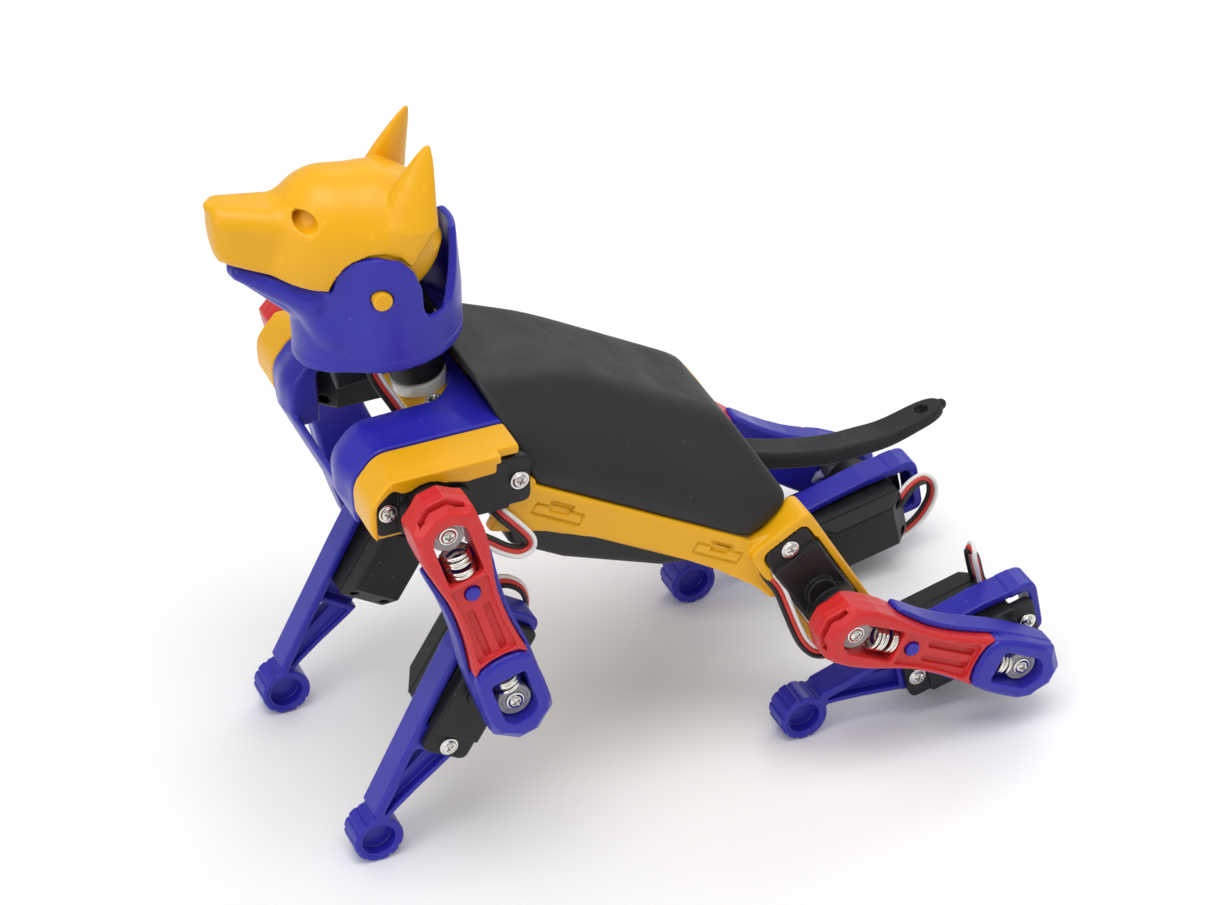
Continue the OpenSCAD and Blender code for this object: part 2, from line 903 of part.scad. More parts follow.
hip_spring(2);  // rear_left_hip_spring
knee_spring(2);  // rear_left_knee_spring
knee_horn(2);  // rear_left_knee_horn
knee_servo(2);  // rear_left_knee_servo
shank(2);  // rear_left_shank
shank_screws(2);  // rear_left_shank_screws
hip_horn(3);  // rear_right_hip_horn
thigh_outer(3);  // rear_right_thigh_outer
thigh_inner(3);  // rear_right_thigh_inner
hip_spring(3);  // rear_right_hip_spring
knee_spring(3);  // rear_right_knee_spring
knee_horn(3);  // rear_right_knee_horn
knee_servo(3);  // rear_right_knee_servo
shank(3);  // rear_right_shank
shank_screws(3);  // rear_right_shank_screws
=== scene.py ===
"""The looks of the quadruped robot dog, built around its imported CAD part.

Moulded pieces are sculpted as signed distance fields in millimetres, in the frame of the
part they belong to, and meshed with surface nets. Wires, springs and leads are swept."""
import itertools
import math

import bpy
import numpy as np
from mathutils import Matrix, Vector


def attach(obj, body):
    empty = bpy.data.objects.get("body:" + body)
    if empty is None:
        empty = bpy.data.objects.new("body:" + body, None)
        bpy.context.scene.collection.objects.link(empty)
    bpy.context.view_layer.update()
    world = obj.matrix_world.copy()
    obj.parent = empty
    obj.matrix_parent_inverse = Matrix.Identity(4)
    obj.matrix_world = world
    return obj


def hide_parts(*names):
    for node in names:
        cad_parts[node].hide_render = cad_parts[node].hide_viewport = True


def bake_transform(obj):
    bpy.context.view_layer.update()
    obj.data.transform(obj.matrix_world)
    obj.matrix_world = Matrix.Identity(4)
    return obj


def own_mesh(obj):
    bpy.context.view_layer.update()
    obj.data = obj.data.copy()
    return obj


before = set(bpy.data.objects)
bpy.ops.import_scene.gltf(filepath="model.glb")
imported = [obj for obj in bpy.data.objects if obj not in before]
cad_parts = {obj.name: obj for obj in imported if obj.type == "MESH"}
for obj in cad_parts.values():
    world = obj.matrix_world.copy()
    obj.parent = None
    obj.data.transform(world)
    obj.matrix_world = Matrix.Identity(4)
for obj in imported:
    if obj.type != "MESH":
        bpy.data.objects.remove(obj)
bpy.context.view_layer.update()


# ---- driving dimensions, as in the CAD part -----------------------------------------
# hip axes either side of the body's middle, body pitch, and the middle's height
HIP_X, PITCH, HEIGHT = 52.5, 30.0, 63.1
# each thigh's angle from straight down, in the order of LEGS
THIGHS = (-16.3, -15.3, -62.5, -60.1)
HEAD_TURN, THIGH, SHANK, FOOT_R = -6.0, 46.8, 46.8, 5.5
# the body's middle ahead of the origin, and the neck's foot and tilt in the body frame
SHIFT, NECK, TILT = 11.79, (47.5, 13.7), 50.0
# outer face of the servo ears at hips and knees, and the ears' two screws from the shaft
EAR_HIP, EAR_KNEE, EAR_SCREWS = 32.4, 33.0, (-8, 20)
# a knee servo stands this far off its shank's line
KNEE_TWIST = 2
# middle of the springs, and the drop of the pin that joins the thigh's two shells
SPRING_Y, PIN_DROP = 43.7, 14.6
LEGS = ("front_left", "front_right", "rear_left", "rear_right")


# ---- frames --------------------------------------------------------------------------
def move(x=0, y=0, z=0):
    m = np.eye(4)
    m[:3, 3] = x, y, z
    return m


def turn(axis, deg):
    m = np.eye(4)
    m[:3, :3] = np.array(Matrix.Rotation(math.radians(deg), 3, axis))
    return m


def flip(s):
    return np.diag([1.0, float(s), 1.0, 1.0])


def side(leg):
    return 1 if leg % 2 == 0 else -1


def hip_point(leg):
    x = HIP_X if leg < 2 else -HIP_X
    a = math.radians(PITCH)
    return SHIFT + x * math.cos(a), HEIGHT + x * math.sin(a)


def shank_angle(leg):
    z = hip_point(leg)[1] - THIGH * math.cos(math.radians(THIGHS[leg])) - FOOT_R
    return math.degrees(math.acos(z / SHANK))


BODY = move(SHIFT, 0, HEIGHT) @ turn("Y", -PITCH)
NECK_F = BODY @ move(NECK[0], 0, NECK[1]) @ turn("Y", 90 - TILT)
NECK_T = NECK_F @ turn("Z", HEAD_TURN)
HEAD = (NECK_T @ turn("Y", TILT - 90) @ move(-NECK[0], 0, -NECK[1])
        @ turn("Y", PITCH) @ move(0, 0, -HEIGHT))


def thigh_frame(leg):
    x, z = hip_point(leg)
    return move(x, 0, z) @ turn("Y", -THIGHS[leg]) @ flip(side(leg))


def shank_frame(leg):
    x, z = hip_point(leg)
    a = math.radians(THIGHS[leg])
    return (move(x + THIGH * math.sin(a), 0, z - THIGH * math.cos(a))
            @ turn("Y", -shank_angle(leg)) @ flip(side(leg)))


def hip_servo_frame(leg):
    x = HIP_X if leg < 2 else -HIP_X
    return (BODY @ flip(side(leg)) @ move(x, EAR_HIP, 0)
            @ turn("Y", 180 + PITCH if leg < 2 else -PITCH))


def knee_servo_frame(leg):
    return shank_frame(leg) @ move(0, EAR_KNEE, 0) @ turn("Y", 90 + KNEE_TWIST)


# ---- distance fields -----------------------------------------------------------------
def length(*parts):
    return np.sqrt(sum(p * p for p in parts))


def smin(a, b, k):
    h = np.clip(0.5 + 0.5 * (b - a) / k, 0, 1)
    return b + (a - b) * h - k * h * (1 - h)


def smax(a, b, k):
    return -smin(-a, -b, k)


def joined(k, *fields):
    out = fields[0]
    for f in fields[1:]:
        out = smin(out, f, k)
    return out


def meet(a, b, r):
    """Where two fields overlap, with a round edge of radius r."""
    a, b = a + r, b + r
    return np.minimum(np.maximum(a, b), 0) + length(np.maximum(a, 0), np.maximum(b, 0)) - r


def ball(q, c, r):
    return length(q[0] - c[0], q[1] - c[1], q[2] - c[2]) - r


def egg(q, c, r):
    d = [(q[i] - c[i]) for i in range(3)]
    k0 = length(*[d[i] / r[i] for i in range(3)])
    k1 = length(*[d[i] / r[i] ** 2 for i in range(3)])
    return k0 * (k0 - 1) / np.maximum(k1, 1e-6)


def cone(q, a, b, ra, rb):
    """Round-ended cone from a to b."""
    ab = np.subtract(b, a).astype(float)
    w = [q[i] - a[i] for i in range(3)]
    t = np.clip(sum(w[i] * ab[i] for i in range(3)) / (ab @ ab), 0, 1)
    return length(*[w[i] - ab[i] * t for i in range(3)]) - (ra + (rb - ra) * t)


def brick(q, low, high, r=0.3):
    d = [np.abs(q[i] - (low[i] + high[i]) / 2) - (high[i] - low[i]) / 2 + r for i in range(3)]
    return (length(*[np.maximum(v, 0) for v in d])
            + np.minimum(np.maximum(np.maximum(d[0], d[1]), d[2]), 0) - r)


def rod(q, axis, centre, radius, a, b, r=0.2):
    """Cylinder along one axis (0, 1 or 2) from a to b with round edges."""
    u, v = [q[i] for i in range(3) if i != axis]
    return meet(length(u - centre[0], v - centre[1]) - radius,
                np.abs(q[axis] - (a + b) / 2) - (b - a) / 2, r)


def outline(u, v, pts):
    """Signed distance to a closed polygon."""
    d = np.full(u.shape, 1e9)
    inside = np.zeros(u.shape, bool)
    for (ax, az), (bx, bz) in zip(pts, pts[1:] + pts[:1]):
        ex, ez = bx - ax, bz - az
        wx, wz = u - ax, v - az
        t = np.clip((wx * ex + wz * ez) / (ex * ex + ez * ez + 1e-12), 0, 1)
        d = np.minimum(d, (wx - ex * t) ** 2 + (wz - ez * t) ** 2)
        cross = ((az > v) != (bz > v)) & (u < (bx - ax) * (v - az) / (bz - az + 1e-12) + ax)
        inside ^= cross
    return np.where(inside, -1, 1) * np.sqrt(d)


def plate(q, pts, y0, y1, r=0.5):
    return meet(outline(q[0], q[2], pts), np.abs(q[1] - (y0 + y1) / 2) - (y1 - y0) / 2, r)


def rounded(pts, r, steps=4):
    """Polygon with its corners rounded by radius r (one number, or one per corner)."""
    out = []
    n = len(pts)
    rs = r if isinstance(r, (list, tuple)) else [r] * n
    for i, p in enumerate(pts):
        p, a, b = (np.array(v, float) for v in (p, pts[i - 1], pts[(i + 1) % n]))
        ua, ub = (a - p) / np.linalg.norm(a - p), (b - p) / np.linalg.norm(b - p)
        half = math.acos(max(-1, min(1, float(ua @ ub)))) / 2
        if rs[i] < 1e-3 or half > 1.54:
            out.append(tuple(p))
            continue
        side_a, side_b = np.linalg.norm(a - p) * 0.48, np.linalg.norm(b - p) * 0.48
        cut = min(rs[i] / math.tan(half), side_a, side_b)
        s, e = p + ua * cut, p + ub * cut
        for k in range(steps + 1):
            t = k / steps
            out.append(tuple((1 - t) ** 2 * s + 2 * t * (1 - t) * p + t * t * e))
    return out


def mirrored(right):
    """Closed outline from its right half, listed from top to bottom."""
    return right + [(-x, z) for x, z in reversed(right)]


# ---- meshing -------------------------------------------------------------------------
TETRA = np.array([(1, -1, -1), (-1, -1, 1), (-1, 1, -1), (1, 1, 1)], float)


def field(f, pts):
    out = np.empty(len(pts))
    for i in range(0, len(pts), 200000):
        p = pts[i:i + 200000]
        out[i:i + 200000] = f((p[:, 0], p[:, 1], p[:, 2]))
    return out


def gradient(f, pts, e):
    g = sum(k * field(f, pts + k * e)[:, None] for k in TETRA)
    size = np.linalg.norm(g, axis=1, keepdims=True)
    return g / np.maximum(size, 1e-9), size[:, 0] / (4 * e)


def sculpt(f, low, high, h):
    """Surface nets over the part of the box near the field's zero level."""
    h = h * 1
    low = np.array(low, float) - 2 * h
    b = 8
    nb = np.ceil((np.array(high, float) + 2 * h - low) / h / b).astype(int) + 1
    idx = np.stack(np.meshgrid(*[np.arange(n) for n in nb], indexing="ij"), -1).reshape(-1, 3)
    mid = field(f, low + (idx * b + (b - 1) / 2) * h)
    grid = np.where(mid > 0, 9.0, -9.0).reshape(nb)
    grid = grid.repeat(b, 0).repeat(b, 1).repeat(b, 2).astype(np.float32)
    near = idx[np.abs(mid) < b * h * 0.87 * 1.5]
    local = np.stack(np.meshgrid(*[np.arange(b)] * 3, indexing="ij"), -1).reshape(-1, 3)
    pts = low + (near[:, None, :] * b + local[None]).reshape(-1, 3) * h
    view = grid.reshape(nb[0], b, nb[1], b, nb[2], b).transpose(0, 2, 4, 1, 3, 5)
    view[near[:, 0], near[:, 1], near[:, 2]] = field(f, pts).reshape(-1, b, b, b)
    grid = view.transpose(0, 3, 1, 4, 2, 5).reshape(nb * b)
    neg = grid < 0
    cells = np.zeros(np.array(grid.shape) - 1, np.int8)
    offs = [(i, j, k) for i in (0, 1) for j in (0, 1) for k in (0, 1)]
    sx, sy, sz = cells.shape
    for i, j, k in offs:
        cells += neg[i:i + sx, j:j + sy, k:k + sz]
    at = np.argwhere((cells > 0) & (cells < 8))
    ids = np.full(cells.shape, -1, np.int64)
    ids[tuple(at.T)] = np.arange(len(at))
    val = np.stack([grid[at[:, 0] + i, at[:, 1] + j, at[:, 2] + k] for i, j, k in offs], 1)
    total = np.zeros((len(at), 3))
    count = np.zeros(len(at))
    for a, c in itertools.combinations(range(8), 2):
        pa, pc = np.array(offs[a], float), np.array(offs[c], float)
        if np.abs(pa - pc).sum() != 1:
            continue
        cross = (val[:, a] < 0) != (val[:, c] < 0)
        t = val[:, a] / np.where(cross, val[:, a] - val[:, c], 1)
        total += np.where(cross[:, None], pa + (pc - pa) * t[:, None], 0)
        count += cross
    verts = low + (at + total / count[:, None]) * h
    for _ in range(2):
        n, slope = gradient(f, verts, h * 0.15)
        step = field(f, verts) / np.maximum(slope, 0.3)
        verts = verts - n * np.clip(step, -0.45 * h, 0.45 * h)[:, None]
    faces = []
    for axis in range(3):
        u, v = (axis + 1) % 3, (axis + 2) % 3
        a = [slice(1, None)] * 3
        c = [slice(1, None)] * 3
        a[axis], c[axis] = slice(0, -1), slice(1, None)
        first, second = neg[tuple(a)], neg[tuple(c)]
        where = np.argwhere(first != second)
        inward = first[tuple(where.T)]
        base = where + 1
        base[:, axis] -= 1
        quad = []
        for du, dv in ((1, 1), (0, 1), (0, 0), (1, 0)):
            cell = base.copy()
            cell[:, u] -= du
            cell[:, v] -= dv
            cell = np.minimum(cell, np.array(cells.shape) - 1)
            quad.append(ids[tuple(cell.T)])
        quad = np.stack(quad, 1)
        quad[~inward] = quad[~inward][:, ::-1]
        faces.append(quad)
    faces = np.concatenate(faces)
    faces = faces[(faces >= 0).all(1)]
    normals, _ = gradient(f, verts, h * 0.2)
    return verts, faces, normals


def sweep(path, radius, sides=10):
    """Tube of round wire along a path, with capped ends."""
    path = np.array(path, float)
    n = len(path)
    tan = np.gradient(path, axis=0)
    tan /= np.linalg.norm(tan, axis=1, keepdims=True)
    ref = np.array([0.0, 0.0, 1.0]) if abs(tan[0][2]) < 0.9 else np.array([1.0, 0.0, 0.0])
    u = np.cross(tan[0], ref)
    verts, normals = [], []
    for i in range(n):
        u = u - tan[i] * (u @ tan[i])
        u /= np.linalg.norm(u)
        v = np.cross(tan[i], u)
        for k in range(sides):
            a = 2 * math.pi * k / sides
            d = u * math.cos(a) + v * math.sin(a)
            verts.append(path[i] + d * radius)
            normals.append(d)
    faces = [(i * sides + k, i * sides + (k + 1) % sides,
              (i + 1) * sides + (k + 1) % sides, (i + 1) * sides + k)
             for i in range(n - 1) for k in range(sides)]
    for end, d in ((0, -1), (n - 1, 1)):
        verts.append(path[end] + tan[end] * radius * 0.5 * d)
        normals.append(tan[end] * d)
        c = len(verts) - 1
        for k in range(sides):
            a, b = end * sides + k, end * sides + (k + 1) % sides
            faces.append((b, a, c, c) if d < 0 else (a, b, c, c))
    return np.array(verts), np.array(faces), np.array(normals)


def smooth_path(pts, steps=10):
    """Catmull-Rom curve through points."""
    p = np.array([pts[0]] + list(pts) + [pts[-1]], float)
    out = []
    for i in range(1, len(p) - 2):
        for t in np.linspace(0, 1, steps, endpoint=False):
            a, b, c, d = p[i - 1], p[i], p[i + 1], p[i + 2]
            out.append(0.5 * (2 * b + (c - a) * t + (2 * a - 5 * b + 4 * c - d) * t * t
                              + (3 * b - a - 3 * c + d) * t ** 3))
    out.append(p[-1])
    return np.array(out)


def moved(shape, m):
    v, f, n = shape
    m = np.array(m)
    if np.linalg.det(m[:3, :3]) < 0:
        f = f[:, ::-1]
    return v @ m[:3, :3].T + m[:3, 3], f, n @ m[:3, :3].T


def merged(shapes):
    vs, fs, ns, base = [], [], [], 0
    for v, f, n in shapes:
        vs.append(v)
        fs.append(f + base)
        ns.append(n)
        base += len(v)
    return np.concatenate(vs), np.concatenate(fs), np.concatenate(ns)


def piece(name, shape, mats, body, nodes=(), which=None):
    """Makes the mesh object in metres. which gives each face its material."""
    v, f, n = shape
    me = bpy.data.meshes.new(name)
    if ((f[:, 2] == f[:, 3]) | (f[:, 0] == f[:, 1])).any():
        me.from_pydata((v * 0.001).tolist(), [], [list(dict.fromkeys(r)) for r in f.tolist()])
    else:
        me.vertices.add(len(v))
        me.vertices.foreach_set("co", (v * 0.001).astype(np.float32).ravel())
        me.loops.add(f.size)
        me.loops.foreach_set("vertex_index", f.astype(np.int32).ravel())
        me.polygons.add(len(f))
        me.polygons.foreach_set("loop_start", np.arange(0, f.size, 4, dtype=np.int32))
    me.update(calc_edges=True)
    me.validate()
    me.polygons.foreach_set("use_smooth", np.ones(len(me.polygons), bool))
    for m in mats if isinstance(mats, (list, tuple)) else [mats]:
        me.materials.append(m)
    if which is not None:
        me.polygons.foreach_set("material_index", np.array(which, np.int32))
    me.update()
    if len(me.vertices) == len(n):
        me.normals_split_custom_set_from_vertices(n.tolist())
    obj = bpy.data.objects.new(name, me)
    bpy.context.scene.collection.objects.link(obj)
    if body:
        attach(obj, body)
    if nodes:
        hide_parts(*nodes)
    return obj


# ---- materials -----------------------------------------------------------------------
def dial(node, **values):
    """Sets inputs of a shader node; a space in an input's name is written as an underscore."""
    for key, value in values.items():
        node.inputs[key.replace("_", " ")].default_value = value
    return node


def material(name, colour, rough=0.35, metal=0.0, vary=0.06, grain=900.0, bump=0.05,
             coat=0.0, soft=0.0, wear=0.25, speck=0.0, edge=None):
    """Procedural surface: drifting colour, uneven gloss, fine bump, worn edges, dust specks."""
    m = bpy.data.materials.new(name)
    m.use_nodes = True
    t = m.node_tree
    t.nodes.clear()
    out = t.nodes.new("ShaderNodeOutputMaterial")
    b = t.nodes.new("ShaderNodeBsdfPrincipled")
    t.links.new(b.outputs[0], out.inputs[0])
    co = t.nodes.new("ShaderNodeTexCoord")

    def noise(scale, detail):
        n = dial(t.nodes.new("ShaderNodeTexNoise"), Scale=scale, Detail=detail, Roughness=0.55)
        t.links.new(co.outputs["Object"], n.inputs["Vector"])
        return n.outputs["Fac"]

    def remap(src, a, c, lo=0.3, hi=0.7):
        n = dial(t.nodes.new("ShaderNodeMapRange"), From_Min=lo, From_Max=hi, To_Min=a, To_Max=c)
        t.links.new(src, n.inputs["Value"])
        return n.outputs["Result"]

    def mix(fac, a, c):
        n = t.nodes.new("ShaderNodeMix")
        n.data_type = "RGBA"
        for sock, v in ((n.inputs["Factor"], fac), (n.inputs["A"], a), (n.inputs["B"], c)):
            if hasattr(v, "links"):
                t.links.new(v, sock)
            else:
                sock.default_value = v
        return n.outputs["Result"]

    dark = [c * (1 - vary) for c in colour] + [1]
    light = [min(1, c * (1 + vary) + vary * 0.02) for c in colour] + [1]
    base = mix(remap(noise(45, 4), 0, 1), dark, light)
    worn = edge or [min(1, c * 1.25 + 0.03) for c in colour]
    geo = t.nodes.new("ShaderNodeNewGeometry")
    base = mix(remap(geo.outputs["Pointiness"], 0, wear, 0.515, 0.6), base, list(worn) + [1])
    if speck:
        vor = dial(t.nodes.new("ShaderNodeTexVoronoi"), Scale=260)
        t.links.new(co.outputs["Object"], vor.inputs["Vector"])
        dust = remap(vor.outputs["Distance"], speck, 0, 0.02, 0.07)
        base = mix(dust, base, [0.75, 0.74, 0.72, 1])
    t.links.new(base, b.inputs["Base Color"])
    t.links.new(remap(noise(140, 5), rough * 0.86, min(1, rough * 1.16)), b.inputs["Roughness"])
    dial(b, Metallic=metal, Specular_IOR_Level=0.5 if metal else 0.34, Coat_Weight=coat,
         Coat_Roughness=0.18)
    if soft:
        dial(b, Subsurface_Weight=soft, Subsurface_Radius=(1.0, 0.6, 0.4),
             Subsurface_Scale=0.0012)
    bm = dial(t.nodes.new("ShaderNodeBump"), Strength=bump, Distance=0.0002)
    t.links.new(noise(grain, 3), bm.inputs["Height"])
    t.links.new(bm.outputs["Normal"], b.inputs["Normal"])
    return m


YELLOW = material("yellow_plastic", (0.80, 0.40, 0.003), rough=0.38, vary=0.04, soft=0.06,
                  bump=0.06, coat=0.08, speck=0.1)
BLUE = material("blue_plastic", (0.020, 0.018, 0.36), rough=0.34, vary=0.07, soft=0.04,
                bump=0.06, coat=0.1, speck=0.12, edge=(0.04, 0.045, 0.52))
RED = material("red_plastic", (0.60, 0.020, 0.020), rough=0.38, vary=0.05, soft=0.05,
               bump=0.06, coat=0.08, speck=0.1, edge=(0.75, 0.05, 0.05))
BLACK = material("black_servo_plastic", (0.008, 0.008, 0.009), rough=0.44, vary=0.15,
                 bump=0.16, grain=1500, speck=0.12, edge=(0.022, 0.022, 0.024))
COVER = material("dark_cover_plastic", (0.016, 0.016, 0.018), rough=0.5, vary=0.08,
                 bump=0.3, grain=2600, speck=0.08, wear=0.15, edge=(0.05, 0.05, 0.052))
PACK = material("battery_plastic", (0.016, 0.016, 0.018), rough=0.42, vary=0.1, bump=0.2,
                grain=1800, speck=0.1)
RUBBER = material("tail_rubber", (0.010, 0.010, 0.011), rough=0.55, vary=0.12, bump=0.12,
                  grain=1200, speck=0.1, wear=0.1)
HORN = material("horn_nylon", (0.46, 0.445, 0.46), rough=0.38, vary=0.06, soft=0.2)
CLEAR = material("neck_ring_nylon", (0.62, 0.62, 0.58), rough=0.25, vary=0.05, soft=0.35,
                 bump=0.04, coat=0.3)
STEEL = material("nickel_screw", (0.72, 0.70, 0.66), rough=0.2, metal=1.0, vary=0.08,
                 grain=3000, wear=0.1)
WIRE = material("spring_wire", (0.78, 0.76, 0.70), rough=0.17, metal=1.0, vary=0.06,
                bump=0.03, grain=3500, wear=0.1)
BOARD = material("board_mask", (0.01, 0.09, 0.03), rough=0.4, vary=0.1)
BUTTON = material("button_plastic", (0.2, 0.2, 0.21), rough=0.4, vary=0.06)
LEAD_W = material("lead_white", (0.80, 0.79, 0.77), rough=0.42, vary=0.04)
LEAD_R = material("lead_red", (0.62, 0.045, 0.035), rough=0.42, vary=0.06)
LEAD_K = material("lead_black", (0.014, 0.014, 0.015), rough=0.42, vary=0.1)

# ---- servos, screws, springs, leads --------------------------------------------------
SERVO_CASE = [(-5.5, 0.8), (17.5, 0.8), (17.5, -14), (13.5, -18), (-1.5, -18), (-5.5, -14)]
EAR_SHAPE = rounded([(-10.5, -5.6), (-10.5, 5.6), (22.5, 5.6), (22.5, -5.6)], 2.0)


def servo_field(q):
    """Servo with its shaft on the Y axis and its far ear towards +X."""
    x, y, z = q
    body = meet(outline(x, y, SERVO_CASE), np.abs(z) - 5.9, 0.7)
    # the case is three shells: fine seams between them
    for seam in (-2.6, -13.0):
        body = smax(body, -meet(np.abs(y - seam) - 0.17, -(body + 0.22), 0.02), 0.15)
    ear = brick(q, (-10.5, -2.0, -5.6), (22.5, 0.0, 5.6), 0.25)
    corner = meet(outline(x, z, EAR_SHAPE), np.abs(y + 1.0) - 1.0, 0.3)
    body = joined(0.25, body, np.maximum(ear, corner))
    boss = rod(q, 1, (0, 0), 5.75, -1, 4.4, 0.35)
    gears = rod(q, 1, (5.9, 0), 3.4, -1, 2.2, 0.3)
    body = joined(0.3, body, boss, gears)
    body = smax(body, -rod(q, 1, (0, 0), 2.7, 2.2, 6, 0.2), 0.2)
    # lead outlet at the far end, screw caps underneath
    body = joined(0.4, body, brick(q, (16.9, -11.5, -2.6), (18.3, -9.0, 2.6), 0.4))
    for sx in (-3.6, 15.4):
        for sz in (-4, 4):
            body = smax(body, -rod(q, 1, (sx, sz), 0.9, -19, -13.2, 0.2), 0.15)
    return body


def screw_field(q):
    """Pan head with a washer rim and a cross recess, underside at y = 0."""
    x, y, z = q
    rim = rod(q, 1, (0, 0), 2.05, -0.6, 0.45, 0.16)
    dome = smax(ball(q, (0, -1.35, 0), 2.55), length(x, z) - 1.6, 0.3)
    head = smin(rim, dome, 0.12)
    c, s = math.cos(0.45), math.sin(0.45)
    u, v = x * c + z * s, z * c - x * s
    au, av, reach = np.abs(u), np.abs(v), 0.95 * np.clip((y + 0.4) / 1.4, 0.1, 1)
    arm = np.minimum(np.maximum(au - reach, av - 0.24), np.maximum(av - reach, au - 0.24))
    return smax(head, -np.maximum(arm, 0.25 - y), 0.1)


def coil_path(start, end, turns, radius):
    """Helix along -Z whose turns bunch up in two groups."""
    pts = []
    n = int(turns * 26)
    for i in range(n + 1):
        t = i / n
        z = start + (end - start) * (t + 0.085 * math.sin(4 * math.pi * t))
        a = 2 * math.pi * turns * t
        pts.append((radius * math.cos(a), radius * math.sin(a), z))
    return pts


def ribbon(pts, facing, gap=0.98, r=0.52):
    """White, red and black wires side by side along a path, broad side to the facing direction."""
    path = smooth_path(pts, 8)
    tan = np.gradient(path, axis=0)
    tan /= np.linalg.norm(tan, axis=1, keepdims=True)
    off = np.cross(tan, np.array(facing, float))
    off /= np.maximum(np.linalg.norm(off, axis=1, keepdims=True), 1e-6)
    tubes = [sweep(path + off * gap * k, r) for k in (-1, 0, 1)]
    which = [k for k, tube in enumerate(tubes) for _ in range(len(tube[1]))]
    return merged(tubes), which


# ---- legs ----------------------------------------------------------------------------
# outlines in a thigh's frame: half width and height above the hip axis, from the top down
RED_EDGE = rounded(mirrored([
    (2.2, 8.9), (6.7, 4.9), (7.0, -1.5), (6.7, -5.5), (6.05, -9.5), (5.3, -13.5), (4.85, -17),
    (4.75, -21), (4.95, -26), (5.45, -30.5), (6.2, -35.3), (4.2, -33.4), (1.6, -32.7)]), 1.1, 3)
PANEL = rounded(mirrored([
    (4.1, -11.4), (3.95, -12.8), (3.6, -17.5), (3.5, -22), (3.75, -26.5), (4.3, -30.6),
    (4.0, -31.7), (1.5, -31.7)]), 0.6, 3)
BLUE_EDGE = rounded(mirrored([
    (2.4, -8.7), (7.2, -8.8), (6.9, -12.0), (6.3, -16.5), (6.1, -21), (6.2, -26), (6.7, -31),
    (7.15, -36), (7.2, -42), (7.05, -51.8), (2.3, -56.0)]), 0.9, 3)
PAD_EDGE = rounded(mirrored([
    (1.6, -33.1), (4.4, -33.7), (6.1, -35.4), (6.75, -39.0), (7.0, -43.5), (6.95, -51.8),
    (2.3, -56.0)]), 1.3, 4)
WINDOW_R = 3.85


def ease(t):
    """Smooth step from 0 to 1."""
    t = np.clip(t, 0, 1)
    return t * t * (3 - 2 * t)


def window(q, s, d):
    """Opening for a sprung horn at drop s: round at the horn, square where its spring ends."""
    x, z = q[0], (q[2] + s) * d
    tip = -10.4 if d > 0 else -8.45
    square = meet(np.abs(x) - WINDOW_R, np.maximum(tip - z, z), 0.9)
    return np.minimum(length(x, z) - WINDOW_R, square)


def cut_pocket(d, q, mid, half, drop):
    """Cuts the room for a spring, mid and half along Y, centred at the given drop."""
    pocket = np.maximum(np.abs(q[1] - mid) - half, np.abs(q[2] + drop) - 3.9)
    return smax(d, -meet(np.abs(q[0]) - 3.2, pocket, 0.2), 0.2)


def red_field(q):
    """Outer shell of a thigh."""
    x, y, z = q
    edge = outline(x, z, RED_EDGE)
    front = meet(edge, np.abs(y - 44.3) - 2.7, 0.35)
    hip = meet(np.maximum(edge, -8.5 - z), np.abs(y - 40.6) - 2.6, 0.5)
    d = smin(front, hip, 0.3)
    lift = ease((z - 2.0) / 5.0)
    chamfer = (edge + (y - 47) + 0.75 + 1.75 * lift) / 1.414
    d = smax(d, chamfer, 0.35)
    back = (edge - (y - 38) + 0.5 + 1.0 * lift) / 1.414
    d = smax(d, back, 0.35)
    # thin slot round the top of the hip end
    slot = np.maximum(np.maximum(np.abs(y - 44.9 + 0.06 * (z - 6)) - 0.42, -(edge + 2.5)), 4.0 - z)
    d = smax(d, -np.maximum(slot, np.abs(x + 0.3) - 4.9), 0.2)
    # recessed panel with two grooves and a hole for the blue pin
    panel = meet(outline(x, z, PANEL), 46.05 - y, 0.25)
    d = smax(d, -panel, 0.25)
    for gx in (-1.75, 1.75):
        groove = length(x - gx, z - np.clip(z, -30.6, -19.2)) - 0.76
        d = smax(d, -meet(groove, 45.2 - y, 0.2), 0.2)
    d = smax(d, -np.maximum(length(x, z + PIN_DROP) - 1.72, 41 - y), 0.15)
    d = smax(d, -window(q, 0, 1), 0.35)
    return cut_pocket(d, q, 43.0, 2.3, 8)


